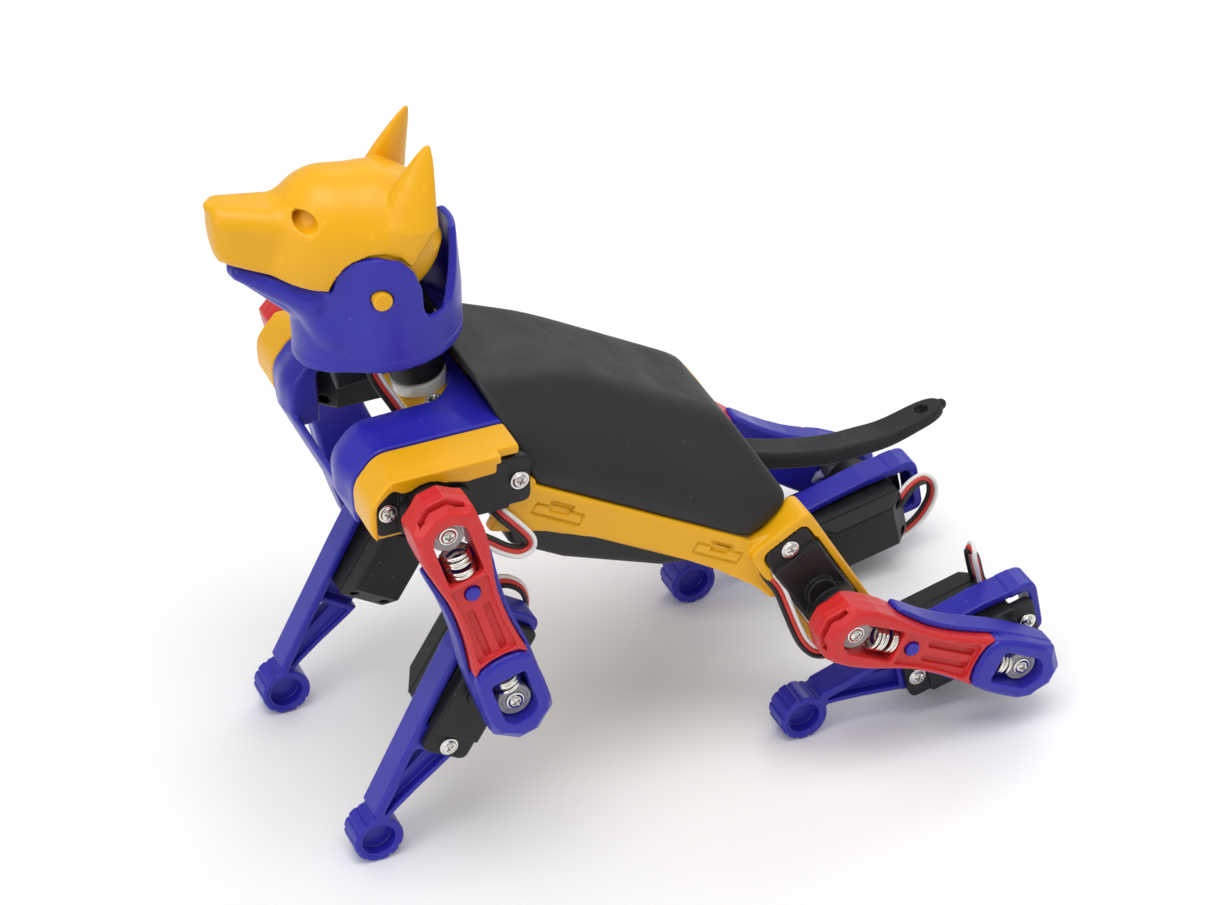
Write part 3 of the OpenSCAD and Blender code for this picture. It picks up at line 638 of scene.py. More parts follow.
def blue_field(q):
    """Inner shell of a thigh, with the pad round the knee's horn."""
    x, y, z = q
    edge = outline(x, z, BLUE_EDGE)
    slab = meet(edge, np.abs(y - 41.0) - 3.0, 0.45)
    # the flange beside the red plate thins to a blade towards the hip
    blade = (y - 44.1) + 0.10 * np.clip(z + 20, -30, 14)
    slab = smax(slab, blade, 0.4)
    seat = np.maximum(outline(x, z, RED_EDGE) - 0.16, 41.45 - y)
    slab = smax(slab, -seat, 0.15)
    pad_edge = outline(x, z, PAD_EDGE)
    pad = meet(pad_edge, np.abs(y - 43.8) - 3.6, 0.7)
    low = ease((-47.5 - z) / 5.0)
    pad = smax(pad, (pad_edge + (y - 47.4) + 0.8 + 1.4 * low) / 1.414, 0.4)
    d = smin(slab, pad, 0.3)
    d = smax(d, (edge - (y - 38) + 0.6 + 0.9 * low) / 1.414, 0.3)
    slot = np.maximum(np.maximum(np.abs(y - 43.2) - 0.38, -(edge + 2.2)), z + 52.6)
    d = smax(d, -np.maximum(slot, np.abs(x) - 5.2), 0.2)
    d = smax(d, -window(q, THIGH, -1), 0.45)
    d = cut_pocket(d, q, 43.6, 2.9, THIGH - 8)
    d = cut_pocket(d, q, 43.0, 2.3, 8)
    pin = rod(q, 1, (0, -PIN_DROP), 1.6, 41, 46.75, 0.3)
    return smin(d, pin, 0.1)


def horn_field(q, ear_y):
    disc = rod(q, 1, (0, 0), 3.7, 42.4, 44.35, 0.35)
    hub = rod(q, 1, (0, 0), 3.2, ear_y + 4.7, 43, 0.2)
    spline = rod(q, 1, (0, 0), 2.5, ear_y + 2.5, 43, 0.1)
    d = smin(disc, smin(hub, spline, 0.05), 0.2)
    ring = np.abs(length(q[0], q[2]) - 3.0) - 0.2
    return smax(d, -np.maximum(ring, 44.2 - q[1]), 0.1)


def coil_shape(s, d):
    """Spring beside the horn at drop s, running down the thigh for d = 1 and up it for d = -1."""
    pts = [(x, SPRING_Y + y, -s + z * d) for x, y, z in coil_path(-4.2, -11.5, 7.5, 2.75)]
    return sweep(pts, 0.4)


# side view of the shank, below and ahead of the knee: branch, bar, seat, arch, opening
WEB = [
    (5.3, -22.3), (-4.7, -22.3), (-4.3, -24.2), (-1.5, -32.6), (0.2, -38.5), (0.9, -41.8),
    (3.6, -41.8)]
BAR = [
    (8.7, 9.0), (8.75, -1), (7.75, -12), (6.65, -22), (5.6, -32), (4.6, -41.5), (2.2, -43.5),
    (3.5, -34), (4.25, -28), (4.85, -22), (5.95, -12), (6.75, -3), (6.75, 9.0)]
SEAT = rounded([(5.6, -17.6), (-5.6, -17.6), (-5.6, -21.2), (-4.6, -23.4), (5.4, -23.4)], 0.6, 3)
ARCH = rounded([
    (8.7, 6.0), (8.7, 12.7), (-5.8, 12.7), (-5.8, 5.6), (-4.0, 5.6), (-4.0, 10.6), (6.7, 10.6),
    (6.7, 6.0)], [0.1, 5, 2.6, 0.8, 0.4, 1.2, 2.4, 0.1], 6)
HOLE = rounded([(4.6, -24.0), (1.0, -24.0), (3.5, -34.2)], 0.45, 3)


def shank_field(q):
    """Front bar, rear branch, arch round the knee servo's end, seat for its ear, and foot."""
    x, y, z = q
    bar = plate(q, BAR, 24, 31, 0.55)
    web_edge = outline(x, z, WEB)
    web = meet(web_edge, np.abs(y - 28.0) - 3.0, 0.55)
    # channel between the rims of the rear branch
    web = smax(web, -meet(web_edge + 1.25, np.abs(y - 31.2) - 2.2, 0.35), 0.3)
    web = smax(web, -meet(web_edge + 1.25, np.abs(y - 24.6) - 1.6, 0.35), 0.3)
    seat = plate(q, SEAT, 28.2, 31, 0.45)
    arch = plate(q, ARCH, 24, 31, 0.55)
    d = joined(0.5, bar, web)
    d = joined(0.5, d, seat, arch)
    d = smax(d, -outline(x, z, HOLE), 0.3)
    # the foot: a ribbed tyre with a recess in each face
    a = np.arctan2(x, z + SHANK)
    r = length(x, z + SHANK)
    ribs = 0.32 * np.clip(np.cos(a * 12) * 3 - 1.6, 0, 1) * (np.cos(a + 0.4) < 0.55)
    tyre = meet(r - FOOT_R + ribs, np.abs(y - 27.5) - 3.6, 0.5)
    d = smin(d, tyre, 0.8)
    d = smax(d, -meet(r - 3.65, 0.8 - np.abs(y - 27.5), 0.3), 0.35)
    d = smax(d, -meet(r - 4.3, 3.3 - np.abs(y - 27.5), 0.15), 0.2)
    twist = math.radians(KNEE_TWIST)
    for s in EAR_SCREWS:
        d = smax(d, -(length(x + s * math.sin(twist), z + s * math.cos(twist)) - 1.0), 0.1)
    return d


# ---- body ----------------------------------------------------------------------------
def hull_planes(points):
    """Outward faces of the convex hull of a small set of points."""
    p = np.array(points, float)
    centre, planes = p.mean(0), []
    for a, b, c in itertools.combinations(p, 3):
        n = np.cross(b - a, c - a)
        size = np.linalg.norm(n)
        if size < 1e-3:
            continue
        n /= size
        n = n if n @ (a - centre) > 0 else -n
        off = n @ a
        if (p @ n <= off + 1e-6).all() and not any(n @ m > 0.9995 for m, _ in planes):
            planes.append((n, off))
    return planes


def facets(q, planes, k):
    """Solid behind all the planes, its edges rounded by k."""
    d = None
    for n, off in planes:
        e = q[0] * n[0] + q[1] * n[1] + q[2] * n[2] - off
        d = e if d is None else smax(d, e, k)
    return d


# corners of the cover's left half in the body frame
COVER_TOP = [
    (30, 30.4, 9), (-26, 30.4, 9), (-26, 30.4, 12.5), (30, 30.4, 12.5), (-34, 27, 18.5),
    (36.5, 27.5, 16.5), (46.5, 17, 22.3), (23, 13.5, 28.0), (-18, 13.5, 28.0), (30, 28, -4),
    (-26, 28, -4)]
COVER_PLANES = hull_planes([(x, s * y, z) for x, y, z in COVER_TOP for s in (1, -1)])


def cover_field(q):
    x, y, z = q
    outer = facets(q, COVER_PLANES, 1.9) + 0.1
    shell = smax(outer, -(outer + 1.7), 0.4)
    # lower edge follows the rails and rises at the rear corners and the shoulders
    ay = np.abs(y)
    low = 8.9 + np.maximum(-26.5 - x, 0) * 1.15 + np.maximum(x - 29.0, 0) * 0.78
    d = smax(shell, (low - z) * 0.8, 0.6)
    # opening for the tail
    return smax(d, -meet(ay - 4.5, np.maximum(np.abs(z - 14.8) - 3.9, x + 18), 0.6), 0.4)


RAIL = rounded([
    (34, 8.5), (-27, 8.5), (-34.5, 15.0), (-39.5, 5.0), (-40.5, -3.6), (-34, -1.5), (-22, 0.2),
    (-7, 1.0), (8, 0.8), (22, -0.8), (34, -3.8)], [0.3, 0.5, 1, 1, 1, 1, 3, 3, 3, 3, 0.3], 3)
CLIP = rounded([
    (-6, -1.2), (-6, 1.2), (-2.8, 1.2), (-2.8, 2.4), (2.8, 2.4), (2.8, 1.2), (6, 1.2),
    (6, -1.2)], 0.3, 2)


def rail_field(q):
    """One rail, mirrored by |y|, with its engraved clip marks and battery runner."""
    x, y, z = q[0], np.abs(q[1]), q[2]
    q = (x, y, z)
    d = plate(q, RAIL, 27.4, 30.4, 0.5)
    d = smin(d, plate(q, [(30, 8.5), (-25, 8.5), (-25, 6.6), (30, 6.6)], 26.4, 30.2, 0.4), 0.6)
    for cx, cz in ((21, 3.6), (-20.5, 4.0)):
        mark = np.abs(outline(x - cx, z - cz, CLIP)) - 0.22
        d = smax(d, -np.maximum(mark, 30.0 - y), 0.1)
        pocket = outline(x - cx, z - cz - 0.5, [(-2.4, -0.2), (-2.4, 1.3), (2.4, 1.3), (2.4, -0.2)])
        d = smax(d, -np.maximum(pocket, 29.7 - y), 0.15)
    d = smin(d, brick(q, (-34.6, -1, 1), (33, 28, 3), 0.4), 0.4)
    run = np.minimum(brick(q, (-33, 19.4, -3.6), (27, 21.4, 2), 0.3),
                     brick(q, (-33, 17.6, -3.6), (27, 21.4, -2.2), 0.3))
    d = smin(d, run, 0.3)
    for cx in (-22, -6, 10):
        d = smax(d, -brick((x - cx, y, z), (-6, -1, 0), (6, 14, 4.5), 1.0), 0.3)
    return d


def rear_seat_field(q):
    """Frame of a rear hip servo in the servo's frame, with a window below it."""
    x, y, z = q
    slab = meet(outline(x, z, REAR_PLATE), np.abs(y + 2.6) - 2.4, 0.5)
    walls = meet(outline(x, z, REAR_PLATE), np.abs(y + 5.2) - 2.8, 0.4)
    d = np.minimum(slab, smax(walls, -(outline(x, z, REAR_WELL) + 0.1), 0.2))
    ears = meet(outline(x, z, EAR_SHAPE) - 0.25, -2.05 - y, 0.1)
    d = smax(d, -ears, 0.2)
    case = np.maximum(brick((x, 0 * y, z), (-5.8, -1, -6.15), (17.8, 1, 6.15), 0.3), -20 - y)
    return smax(d, -case, 0.15)


REAR_PLATE = rounded([(-13.2, -8.0), (-13.2, 8.0), (25.0, 8.0), (25.0, -8.0)],
                     [1.8, 1.8, 2.4, 2.4], 4)
REAR_WELL = rounded([(-11.6, -6.4), (-11.6, 6.4), (23.4, 6.4), (23.4, -6.4)], 1.0, 3)


def front_seat_field(q):
    """Cup under a front hip servo, in the hip's level frame (x forward, z up)."""
    x, y, z = q
    under = meet(outline(x, z, FRONT_CUP), np.abs(y - 28.0) - 2.4, 0.5)
    return smax(under, -outline(x, z, FRONT_WELL), 0.3)


FRONT_CUP = rounded([
    (-24.6, -2.6), (-24.6, -7.6), (10.2, -7.6), (11.2, -5.0), (11.2, 2.0), (-22.8, -2.6)],
    [1, 2.5, 3, 1, 0.4, 0.4], 4)
FRONT_WELL = rounded([(-17.9, 9), (-17.9, -6.15), (5.9, -6.15), (5.9, 9)], 0.4, 2)


def to_frame(q, m):
    """Points seen from frame m, which is given in the points' own frame."""
    inv = np.linalg.inv(m)
    return tuple(r[0] * q[0] + r[1] * q[1] + r[2] * q[2] + r[3] for r in inv[:3])


def in_body(m):
    """A frame of the whole object, given in the body frame."""
    return np.linalg.inv(BODY) @ m


def level_hip(leg):
    """Front hip frame kept level: x forward, z up."""
    x, z = hip_point(leg)
    return move(x, 0, z)


def chassis_field(q):
    """Rails, floor, four servo seats, cover post and neck mount, in the body frame."""
    ay = np.abs(q[1])
    one = (q[0], ay, q[2])
    d = rail_field(q)
    rear = rear_seat_field(to_frame(one, in_body(hip_servo_frame(2))))
    front = front_seat_field(to_frame(one, in_body(level_hip(0))))
    d = joined(0.5, d, rear, front)
    post = brick(one, (-34.6, -1, 1), (-31.6, 6, 15.4), 0.5)
    stem = brick(one, (29, -1, 1), (33, 5, 7.5), 0.5)
    n = to_frame(q, in_body(NECK_F))
    mount = meet(outline(n[0], n[1], MOUNT), np.abs(n[2] + 4.7) - 1.5, 0.4)
    for s in (8, -8):
        mount = smin(mount, rod((n[0], n[1] - s, n[2]), 2, (0, 0), 3.1, -6.2, -2.9, 0.3), 0.3)
        mount = smax(mount, -rod((n[0], n[1] - s, n[2]), 2, (0, 0), 1.0, -7, 0, 0.1), 0.1)
    back = brick(n, (-5.5, -5, -18), (-1.5, 5, -4), 0.4)
    d = joined(0.4, d, post, stem, mount, back)
    for leg in (0, 2):
        s = to_frame(one, in_body(hip_servo_frame(leg)))
        room = brick(s, (-5.75, -18.3, -6.15), (17.75, 2.0, 6.15), 0.3)
        d = smax(d, -room, 0.15)
    return smax(d, -brick(q, (-44, -4.1, 11.3), (-30, 4.1, 16.0), 0.3), 0.2)


MOUNT = rounded([(-5.5, -11.4), (5.5, -11.4), (5.5, 11.4), (-5.5, 11.4)], 2.2, 4)


def shoulder_outer(q, grow=0.0):
    """Outer form of the hoods and the yoke, in the hip's level frame."""
    return outline(q[0], q[2], HOOD) - grow


HOOD = rounded([
    (-20.2, 8.9), (-20.2, 6.0), (-20.2, -1.0), (-20.0, -6.0), (10.4, -6.0), (12.1, -3.2),
    (12.3, 3.0), (7.4, 8.9)], [1.2, 0, 0, 0, 1.6, 2.5, 6.5, 6.5], 7)
HOOD_IN = rounded([(-30, 6.3), (-30, -12), (10.8, -12), (10.8, 3.2), (7.0, 6.3)],
                  [0, 0, 0, 3.4, 3.4], 5)
LOBE_IN = rounded([(-30, 6.3), (-30, -12), (6.2, -12), (6.2, 6.3)], [0, 0, 0, 1.0], 4)


def cap_field(q):
    """Hood over a front hip servo."""
    x, y, z = q
    hood = meet(shoulder_outer(q), np.abs(y - 29.25) - 5.05, 0.55)
    dome = (z - 8.9 + 0.012 * (y - 27) ** 2 + 0.02 * np.maximum(y - 24, 0)) * 0.98
    hood = smax(hood, dome, 0.4)
    hood = smax(hood, -outline(x, z, HOOD_IN), 0.3)
    # outer lip dips over the gear housing and steps up over the ears
    lip = meet(outline(x, z, LIP), np.abs(y - 33.7) - 0.7, 0.35)
    d = smin(hood, lip, 0.3)
    ears = meet(outline(x, z, EAR_GAP), 32.3 - y, 0.2)
    d = smax(d, -ears, 0.35)
    d = smax(d, -(length(x, z) - 6.1), 0.3)
    return smax(d, -6.0 - z, 0.4)


LIP = rounded([
    (-14.6, 8.2), (-14.6, 4.3), (-8.0, 4.0), (-4.5, 4.9), (5.2, 4.9), (7.4, 6.2), (8.4, 8.2)],
    0.8, 3)
EAR_GAP = rounded([(-30, 5.4), (-15.6, 5.4), (-15.6, 12), (-30, 12)], 1.8, 4)


def yoke_field(q):
    """Two rounded lobes joined behind the neck and by a bar across the chest."""
    x, y, z = q
    ay = np.abs(y)
    grow = 1.0 * np.exp(-((ay - 16.5) / 4.2) ** 2) * np.clip((x + 14) / 12, 0, 1)
    tube = smax(shoulder_outer(q, grow), ay - 23.8, 0.5)
    d = smax(tube, -outline(x, z, LOBE_IN), 0.3)
    # opening for the neck, seen from above
    d = smax(d, -meet(outline(x, ay, YOKE_HOLE), -9 - z, 0.4), 1.2)
    bar = meet(outline(x, z, CHEST_BAR), ay - 23.6, 0.6)
    bar = smax(bar, -outline(x, z, HOOD_IN), 0.3)
    return smin(d, bar, 0.8)


YOKE_HOLE = rounded([
    (-15.8, -6), (-15.8, 5.5), (-11.0, 11.0), (3.5, 11.8), (30, 11.8), (30, -6)],
    [0, 4.5, 5, 2, 0, 0], 6)
CHEST_BAR = rounded([(8.0, -3.4), (12.2, -3.4), (11.6, -7.2), (8.0, -8.4)], 1.2, 4)


BATTERY = rounded([
    (-32, 0.6), (-34, -2.6), (-20, -8.4), (4, -12), (18, -12), (24, -6), (27, 0.6)],
    [0.4, 1, 4, 6, 3, 2, 0.4], 5)
BUTTON_F = move(-12, 0, -9.6) @ turn("Y", -8.5)


def battery_field(q):
    d = plate(q, BATTERY, -17, 17, 1.6)
    d = smin(d, brick(q, (-32, -19, -1.8), (27, 19, 0.6), 0.3), 0.2)
    seam = np.abs(q[2] + 3.4) - 0.2
    d = smax(d, -np.maximum(seam, -(d + 0.3)), 0.15)
    b = to_frame(q, BUTTON_F)
    d = smax(d, -rod(b, 2, (0, 0), 2.05, -6, 3.4, 0.1), 0.2)
    return smax(d, -ball(b, (0, 0, -9.2), 8.2), 0.3)


def button_field(q):
    return rod(q, 2, (0, 0), 2.0, -1.8, 2.4, 0.4)


TAIL = smooth_path([
    (-33, 0, 13.6), (-39, 0, 15), (-47, 0, 17), (-57.5, 0, 20.7), (-65, 0, 25),
    (-70.3, 0, 28.6), (-76, 0, 34.4), (-80, 0, 38.6)], 5)[:, [0, 2]]


def tail_field(q):
    """Flat blade along the curve of TAIL, thinner and rounded towards its tip."""
    x, y, z = q
    best = np.full(x.shape, 1e9)
    along = np.zeros(x.shape)
    n = len(TAIL) - 1
    for i in range(n):
        a, e = TAIL[i], TAIL[i + 1] - TAIL[i]
        t = np.clip(((x - a[0]) * e[0] + (z - a[1]) * e[1]) / (e @ e), 0, 1)
        gap = (x - a[0] - e[0] * t) ** 2 + (z - a[1] - e[1] * t) ** 2
        near = gap < best
        best = np.where(near, gap, best)
        along = np.where(near, (i + t) / n, along)
    thick = 2.15 - 0.75 * along ** 2
    end = np.clip(along - 0.86, 0, 1) / 0.148
    half = (3.75 - 0.5 * along ** 3) * np.sqrt(np.clip(1 - end ** 2, 0.02, 1))
    d = meet(np.sqrt(best) - thick, np.abs(y) - half, 1.1) * 0.8
    h = to_frame(q, move(-76.8, 0, 35.2) @ turn("Y", 48))
    return smax(d, -(length(h[0], h[1]) - 1.45), 0.35)


# ---- head ----------------------------------------------------------------------------
# pivot pin and eye in the head frame (x, z), top and foot of the ears (z), and the angles
# of the mouth's swing at which the skull has to clear the collar
PIVOT, EYE = (44.4, 126.1), (57.3, 142.6)
EAR_TIP, EAR_FOOT = 155.7, 130.5
SWING = (0, 7, 14, 20.5)
SERVO_IN_HEAD = np.linalg.inv(HEAD) @ NECK_T


def skull_solid(q):
    """The head without its ears, hollow or openings."""
    x, y, z = q
    braincase = egg(q, (43.4, 0, 133.5), (14.9, 12.9, 14.9))
    brow = egg(q, (51.8, 0, 135.3), (12.3, 11.9, 13.7))
    cheek = egg((x, np.abs(y), z), (54.0, 4.8, 131.5), (9.5, 6.0, 8.2))
    core = joined(2.2, braincase, brow, cheek)
    d = smin(core, snout(q), 1.8)
    return smin(d, ball(q, (74.6, 0, 145.0), 1.1), 0.8)


def snout(q):
    """Blunt muzzle: a rounded box that widens towards the brow."""
    x, y, z = q
    t = np.clip((75.3 - x) / 18.0, 0, 1.3)
    half = 5.0 + 2.3 * t
    top, low = 146.3 - 3.2 * t, 133.0 - 7.6 * t
    mid, tall = (top + low) / 2, (top - low) / 2
    r = 4.3
    dy, dz = np.abs(y) - half + r, np.abs(z - mid) - tall + r
    cross = np.minimum(np.maximum(dy, dz), 0) + length(np.maximum(dy, 0), np.maximum(dz, 0)) - r
    front = (x - 75.3) + 0.018 * (z - 141) ** 2 + 0.03 * y * y
    return smax(smax(cross, front * 0.95, 2.2), 52 - x, 1.0)


# everything below the skull's lower edge
MOUTH = [
    (22, 100), (22, 127.2), (34, 123.2), (40, 121.4), (47, 122.6), (52.5, 127.1), (57.5, 128.3),
    (63, 130.0), (68.5, 132.1), (73, 133.9), (82, 135.6), (82, 100)]


def ear_field(q):
    """Leaf-shaped blade that faces forwards and out."""
    x, y, z = q[0], np.abs(q[1]), q[2]
    t = np.clip((z - EAR_FOOT) / 25.2, 0, 1)
    cy = 12.0 - 4.0 * t
    cx = 40.2 - 7.6 * t + 0.9 * np.sin(t * math.pi)
    full = np.minimum(1, np.maximum(1 - t, 0.0) / 0.6) ** 0.74 * np.minimum(1, 0.3 + 1.9 * t)
    wide, deep = 6.1 * full + 0.14, 2.9 * full + 0.14
    u, v = (0.9 * (x - cx) - 0.42 * (y - cy)) / wide, (0.42 * (x - cx) + 0.9 * (y - cy)) / deep
    d = (np.sqrt(u * u + v * v) - 1) * np.minimum(wide, deep) * 0.75
    d = smax(d, z - EAR_TIP, 0.4)
    return smax(d, EAR_FOOT - z, 1.5)


def skull_field(q):
    x, y, z = q
    ay = np.abs(y)
    solid = skull_solid(q)
    d = smax(solid, -(solid + 1.9), 0.3)
    ears = np.maximum(ear_field(q), -(solid + 0.9))
    d = smin(d, ears, 0.7)
    # solid pad behind each blind eye
    eye = length(x - EYE[0] + 0.12 * (ay - 9), z - EYE[1])
    d = np.minimum(d, np.maximum(np.maximum(eye - 3.4, -(solid + 4.0)), solid + 0.3))
    d = smax(d, -outline(x, z, MOUTH), 0.45)
    fang = cone((x, ay, z), (73.2, 2.9, 134.6), (73.9, 2.8, 131.6), 1.0, 0.2)
    d = smin(d, fang, 0.25)
    d = smax(d, -np.maximum(eye - 1.95, -(solid + 2.3)), 0.45)
    # leave out whatever would meet the collar's wall or the servo as the head tips back
    for a in SWING:
        cs, sn = math.cos(math.radians(a)), math.sin(math.radians(a))
        dx, dz = x - PIVOT[0], z - PIVOT[1]
        p = (PIVOT[0] + dx * cs - dz * sn, y, PIVOT[1] + dx * sn + dz * cs)
        wall = np.minimum(0.4 - outline(p[0], p[2], COLLAR_TOP), collar_solid(p, 2.0 + 0.02 * a))
        servo = 0.5 - neck_servo_field(to_frame(p, SERVO_IN_HEAD))
        d = smax(d, np.maximum(wall, servo), 0.15)
    pin = rod((x, ay, z), 1, PIVOT, 2.0, 9.5, 15.3, 0.35)
    boss = np.maximum(rod((x, ay, z), 1, PIVOT, 5.0, 9.6, 12.8, 0.3), collar_solid(q, 1.95))
    return joined(0.15, d, pin, boss)


def collar_solid(q, t=0.0):
    """The collar's outer form shrunk by t: a barrel joined to the throat."""
    x, y, z = q
    lean = 0.07 * np.clip(z - 121, 0, 13) * np.clip((38 - x) / 6, 0, 1)
    barrel = length(x - 40, y) - 15 + t + lean
    flare = 0.3 * np.clip((z - 112) / 12, 0, 1)
    throat = length(x - 48.4, y * 1.02) - 11.3 - flare + t
    return smin(barrel, throat, 1.6)


# everything below the collar's upper edge: rear post, notch, disc round the pin, and jaw
COLLAR_TOP = rounded([
    (20, 104), (20, 134.0), (29.4, 134.0), (30.4, 129.0), (30.8, 122.0), (31.9, 119.9),
    (35.0, 119.9), (36.0, 122.4), (36.2, 127.0), (37.6, 131.0), (40.4, 134.2), (44.8, 135.3),
    (49.4, 134.2), (52.4, 131.2), (53.3, 127.1), (57.5, 128.0), (63, 129.7), (68.5, 131.8),
    (73, 133.6), (80, 135), (80, 104)],
    [0, 0, 1.0, 1, 1.0, 1.6, 1.6, 1.5, 2, 2, 2, 2, 2, 1.5, 0.5, 1, 1, 1, 0, 0, 0], 3)


def collar_field(q):
    x, y, z = q
    ay = np.abs(y)
    outer = collar_solid(q)
    d = smax(outer, -collar_solid(q, 1.6), 0.25)
    floor = 108.9 - 0.10 * (x - 46)
    d = smax(d, (floor - z) * 0.99, 0.5)
    rim = smax(outer, -collar_solid(q, 4.2), 0.3)
    rim = smax(rim, np.abs(z - floor - 0.9) - 0.9, 0.3)
    d = smin(d, rim, 0.4)
    top = outline(x, z, COLLAR_TOP)
    d = smax(d, top, 0.5)
    # the wall behind the head narrows to a post
    post = ay - 4.4 - 0.45 * np.maximum(133.4 - z, 0) ** 1.05
    d = smax(d, np.where((x < 31.2) & (z > 121), post, -3), 0.6)
    jaw = np.minimum(cone((x, ay, z), (69.8, 1.9, 130.2), (56.5, 5.4, 124.4), 1.9, 4.3),
                     cone((x, ay, z), (69.8, 0, 130.0), (57.5, 0, 122.8), 2.2, 5.6))
    jaw = smin(jaw, cone((x, ay, z), (57.0, 4.6, 124.0), (52.5, 6.0, 116.5), 4.0, 4.6), 1.5)
    jaw = smax(jaw, -collar_solid(q, 1.6), 0.4)
    jaw = smax(jaw, top + 0.1, 0.4)
    jaw = smax(jaw, 48 - x, 0.4)
    d = smin(d, jaw, 0.8)
    d = smax(d, -(length(x - PIVOT[0], z - PIVOT[1]) - 2.15 + np.where(ay > 10, 0, 9)), 0.25)
    room = brick(to_frame(q, SERVO_IN_HEAD), (-5.9, -6.2, 4.2), (17.9, 6.2, 23.0), 0.3)
    return smax(d, -room, 0.2)


def neck_servo_field(q):
    edge = [(-5.5, 5.3), (17.5, 5.3), (17.5, 18.5), (13.5, 22.5), (-1.5, 22.5), (-5.5, 18.5)]
    case = meet(outline(q[0], q[2], edge), np.abs(q[1]) - 5.9, 0.7)
    boss = rod(q, 2, (0, 0), 5.7, 0.0, 5.6, 0.5)
    return smax(joined(0.4, case, boss), -rod(q, 2, (0, 0), 2.6, -1, 2.3, 0.1), 0.1)


def neck_ring_field(q):
    ring = rod(q, 2, (0, 0), 5.9, -3.2, -0.2, 0.5)
    ring = smax(ring, -rod(q, 2, (0, 0), 1.05, -5, -1.0, 0.1), 0.1)
    return smin(ring, rod(q, 2, (0, 0), 2.5, -1.2, 2.1, 0.1), 0.1)


# ---- pieces --------------------------------------------------------------------------
SERVO = sculpt(servo_field, (-11, -18.5, -6.3), (23, 5, 6.3), 0.34)
SCREW = sculpt(screw_field, (-2.3, -0.8, -2.3), (2.3, 1.5, 2.3), 0.14)
RED_SHAPE = sculpt(red_field, (-8, 37.5, -36), (8, 47.5, 11), 0.3)
BLUE_SHAPE = sculpt(blue_field, (-8.2, 37.5, -58), (8.2, 47.9, -8), 0.3)
SHANK_SHAPE = sculpt(shank_field, (-6.3, 23.3, -53), (9.6, 31.6, 13.5), 0.32)

HORNS = [sculpt(lambda q, y=y: horn_field(q, y), (-4.2, y + 2, -4.2), (4.2, 44.8, 4.2), 0.26)
         for y in (EAR_HIP, EAR_KNEE)]


def ear_screws(m):
    """The two screws of a servo in frame m."""
    return [moved(SCREW, m @ move(x, 0.02, 0)) for x in EAR_SCREWS]


for leg, name in enumerate(LEGS):
    thigh, shank = name + "_thigh", name + "_shank"
    tf, sf, kf = thigh_frame(leg), shank_frame(leg), knee_servo_frame(leg)
    piece(thigh + "_outer_plate", moved(RED_SHAPE, tf), RED, thigh, [thigh + "_outer"])
    piece(thigh + "_inner_link", moved(BLUE_SHAPE, tf), BLUE, thigh, [thigh + "_inner"])
    for at, s, d, shape, m in (("hip", 0, 1, HORNS[0], tf), ("knee", THIGH, -1, HORNS[1], sf)):
        joint = name + "_" + at
        coil = piece(joint + "_coil", moved(coil_shape(s, d), tf), WIRE, thigh, [joint + "_spring"])
        end = (tf @ np.array([0, SPRING_Y, -s - 11.4 * d, 1]))[:3] * 0.001
        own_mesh(coil)
        piece(joint + "_horn_disc", moved(shape, m), HORN, joint + "_horn", [joint + "_horn"])
        piece(joint + "_horn_screw", moved(SCREW, m @ move(0, 44.38, 0)), STEEL, joint + "_horn")
    piece(name + "_hip_servo_case", moved(SERVO, hip_servo_frame(leg)), BLACK, "chassis",
          [name + "_hip_servo"])
    piece(name + "_knee_servo_case", moved(SERVO, kf), BLACK, shank, [name + "_knee_servo"])
    piece(shank + "_link", moved(SHANK_SHAPE, sf), BLUE, shank, [shank])
    piece(shank + "_screw_pair", merged(ear_screws(kf)), STEEL, shank, [shank + "_screws"])

hip_screws = [screw for leg in range(4) for screw in ear_screws(hip_servo_frame(leg))]
neck_screws = [moved(SCREW, NECK_F @ move(0, y, -3.1) @ turn("X", 90)) for y in (-8, 8)]
piece("servo_screw_set", merged(hip_screws + neck_screws), STEEL, "chassis", ["servo_screws"])
cap = sculpt(cap_field, (-21, 23.5, -7.5), (14.2, 35, 9.8), 0.4)
for leg, name in enumerate(("left", "right")):
    piece(name + "_shoulder_hood", moved(cap, level_hip(leg) @ flip(side(leg))), YELLOW, "chassis",
          [name + "_shoulder_cap"])

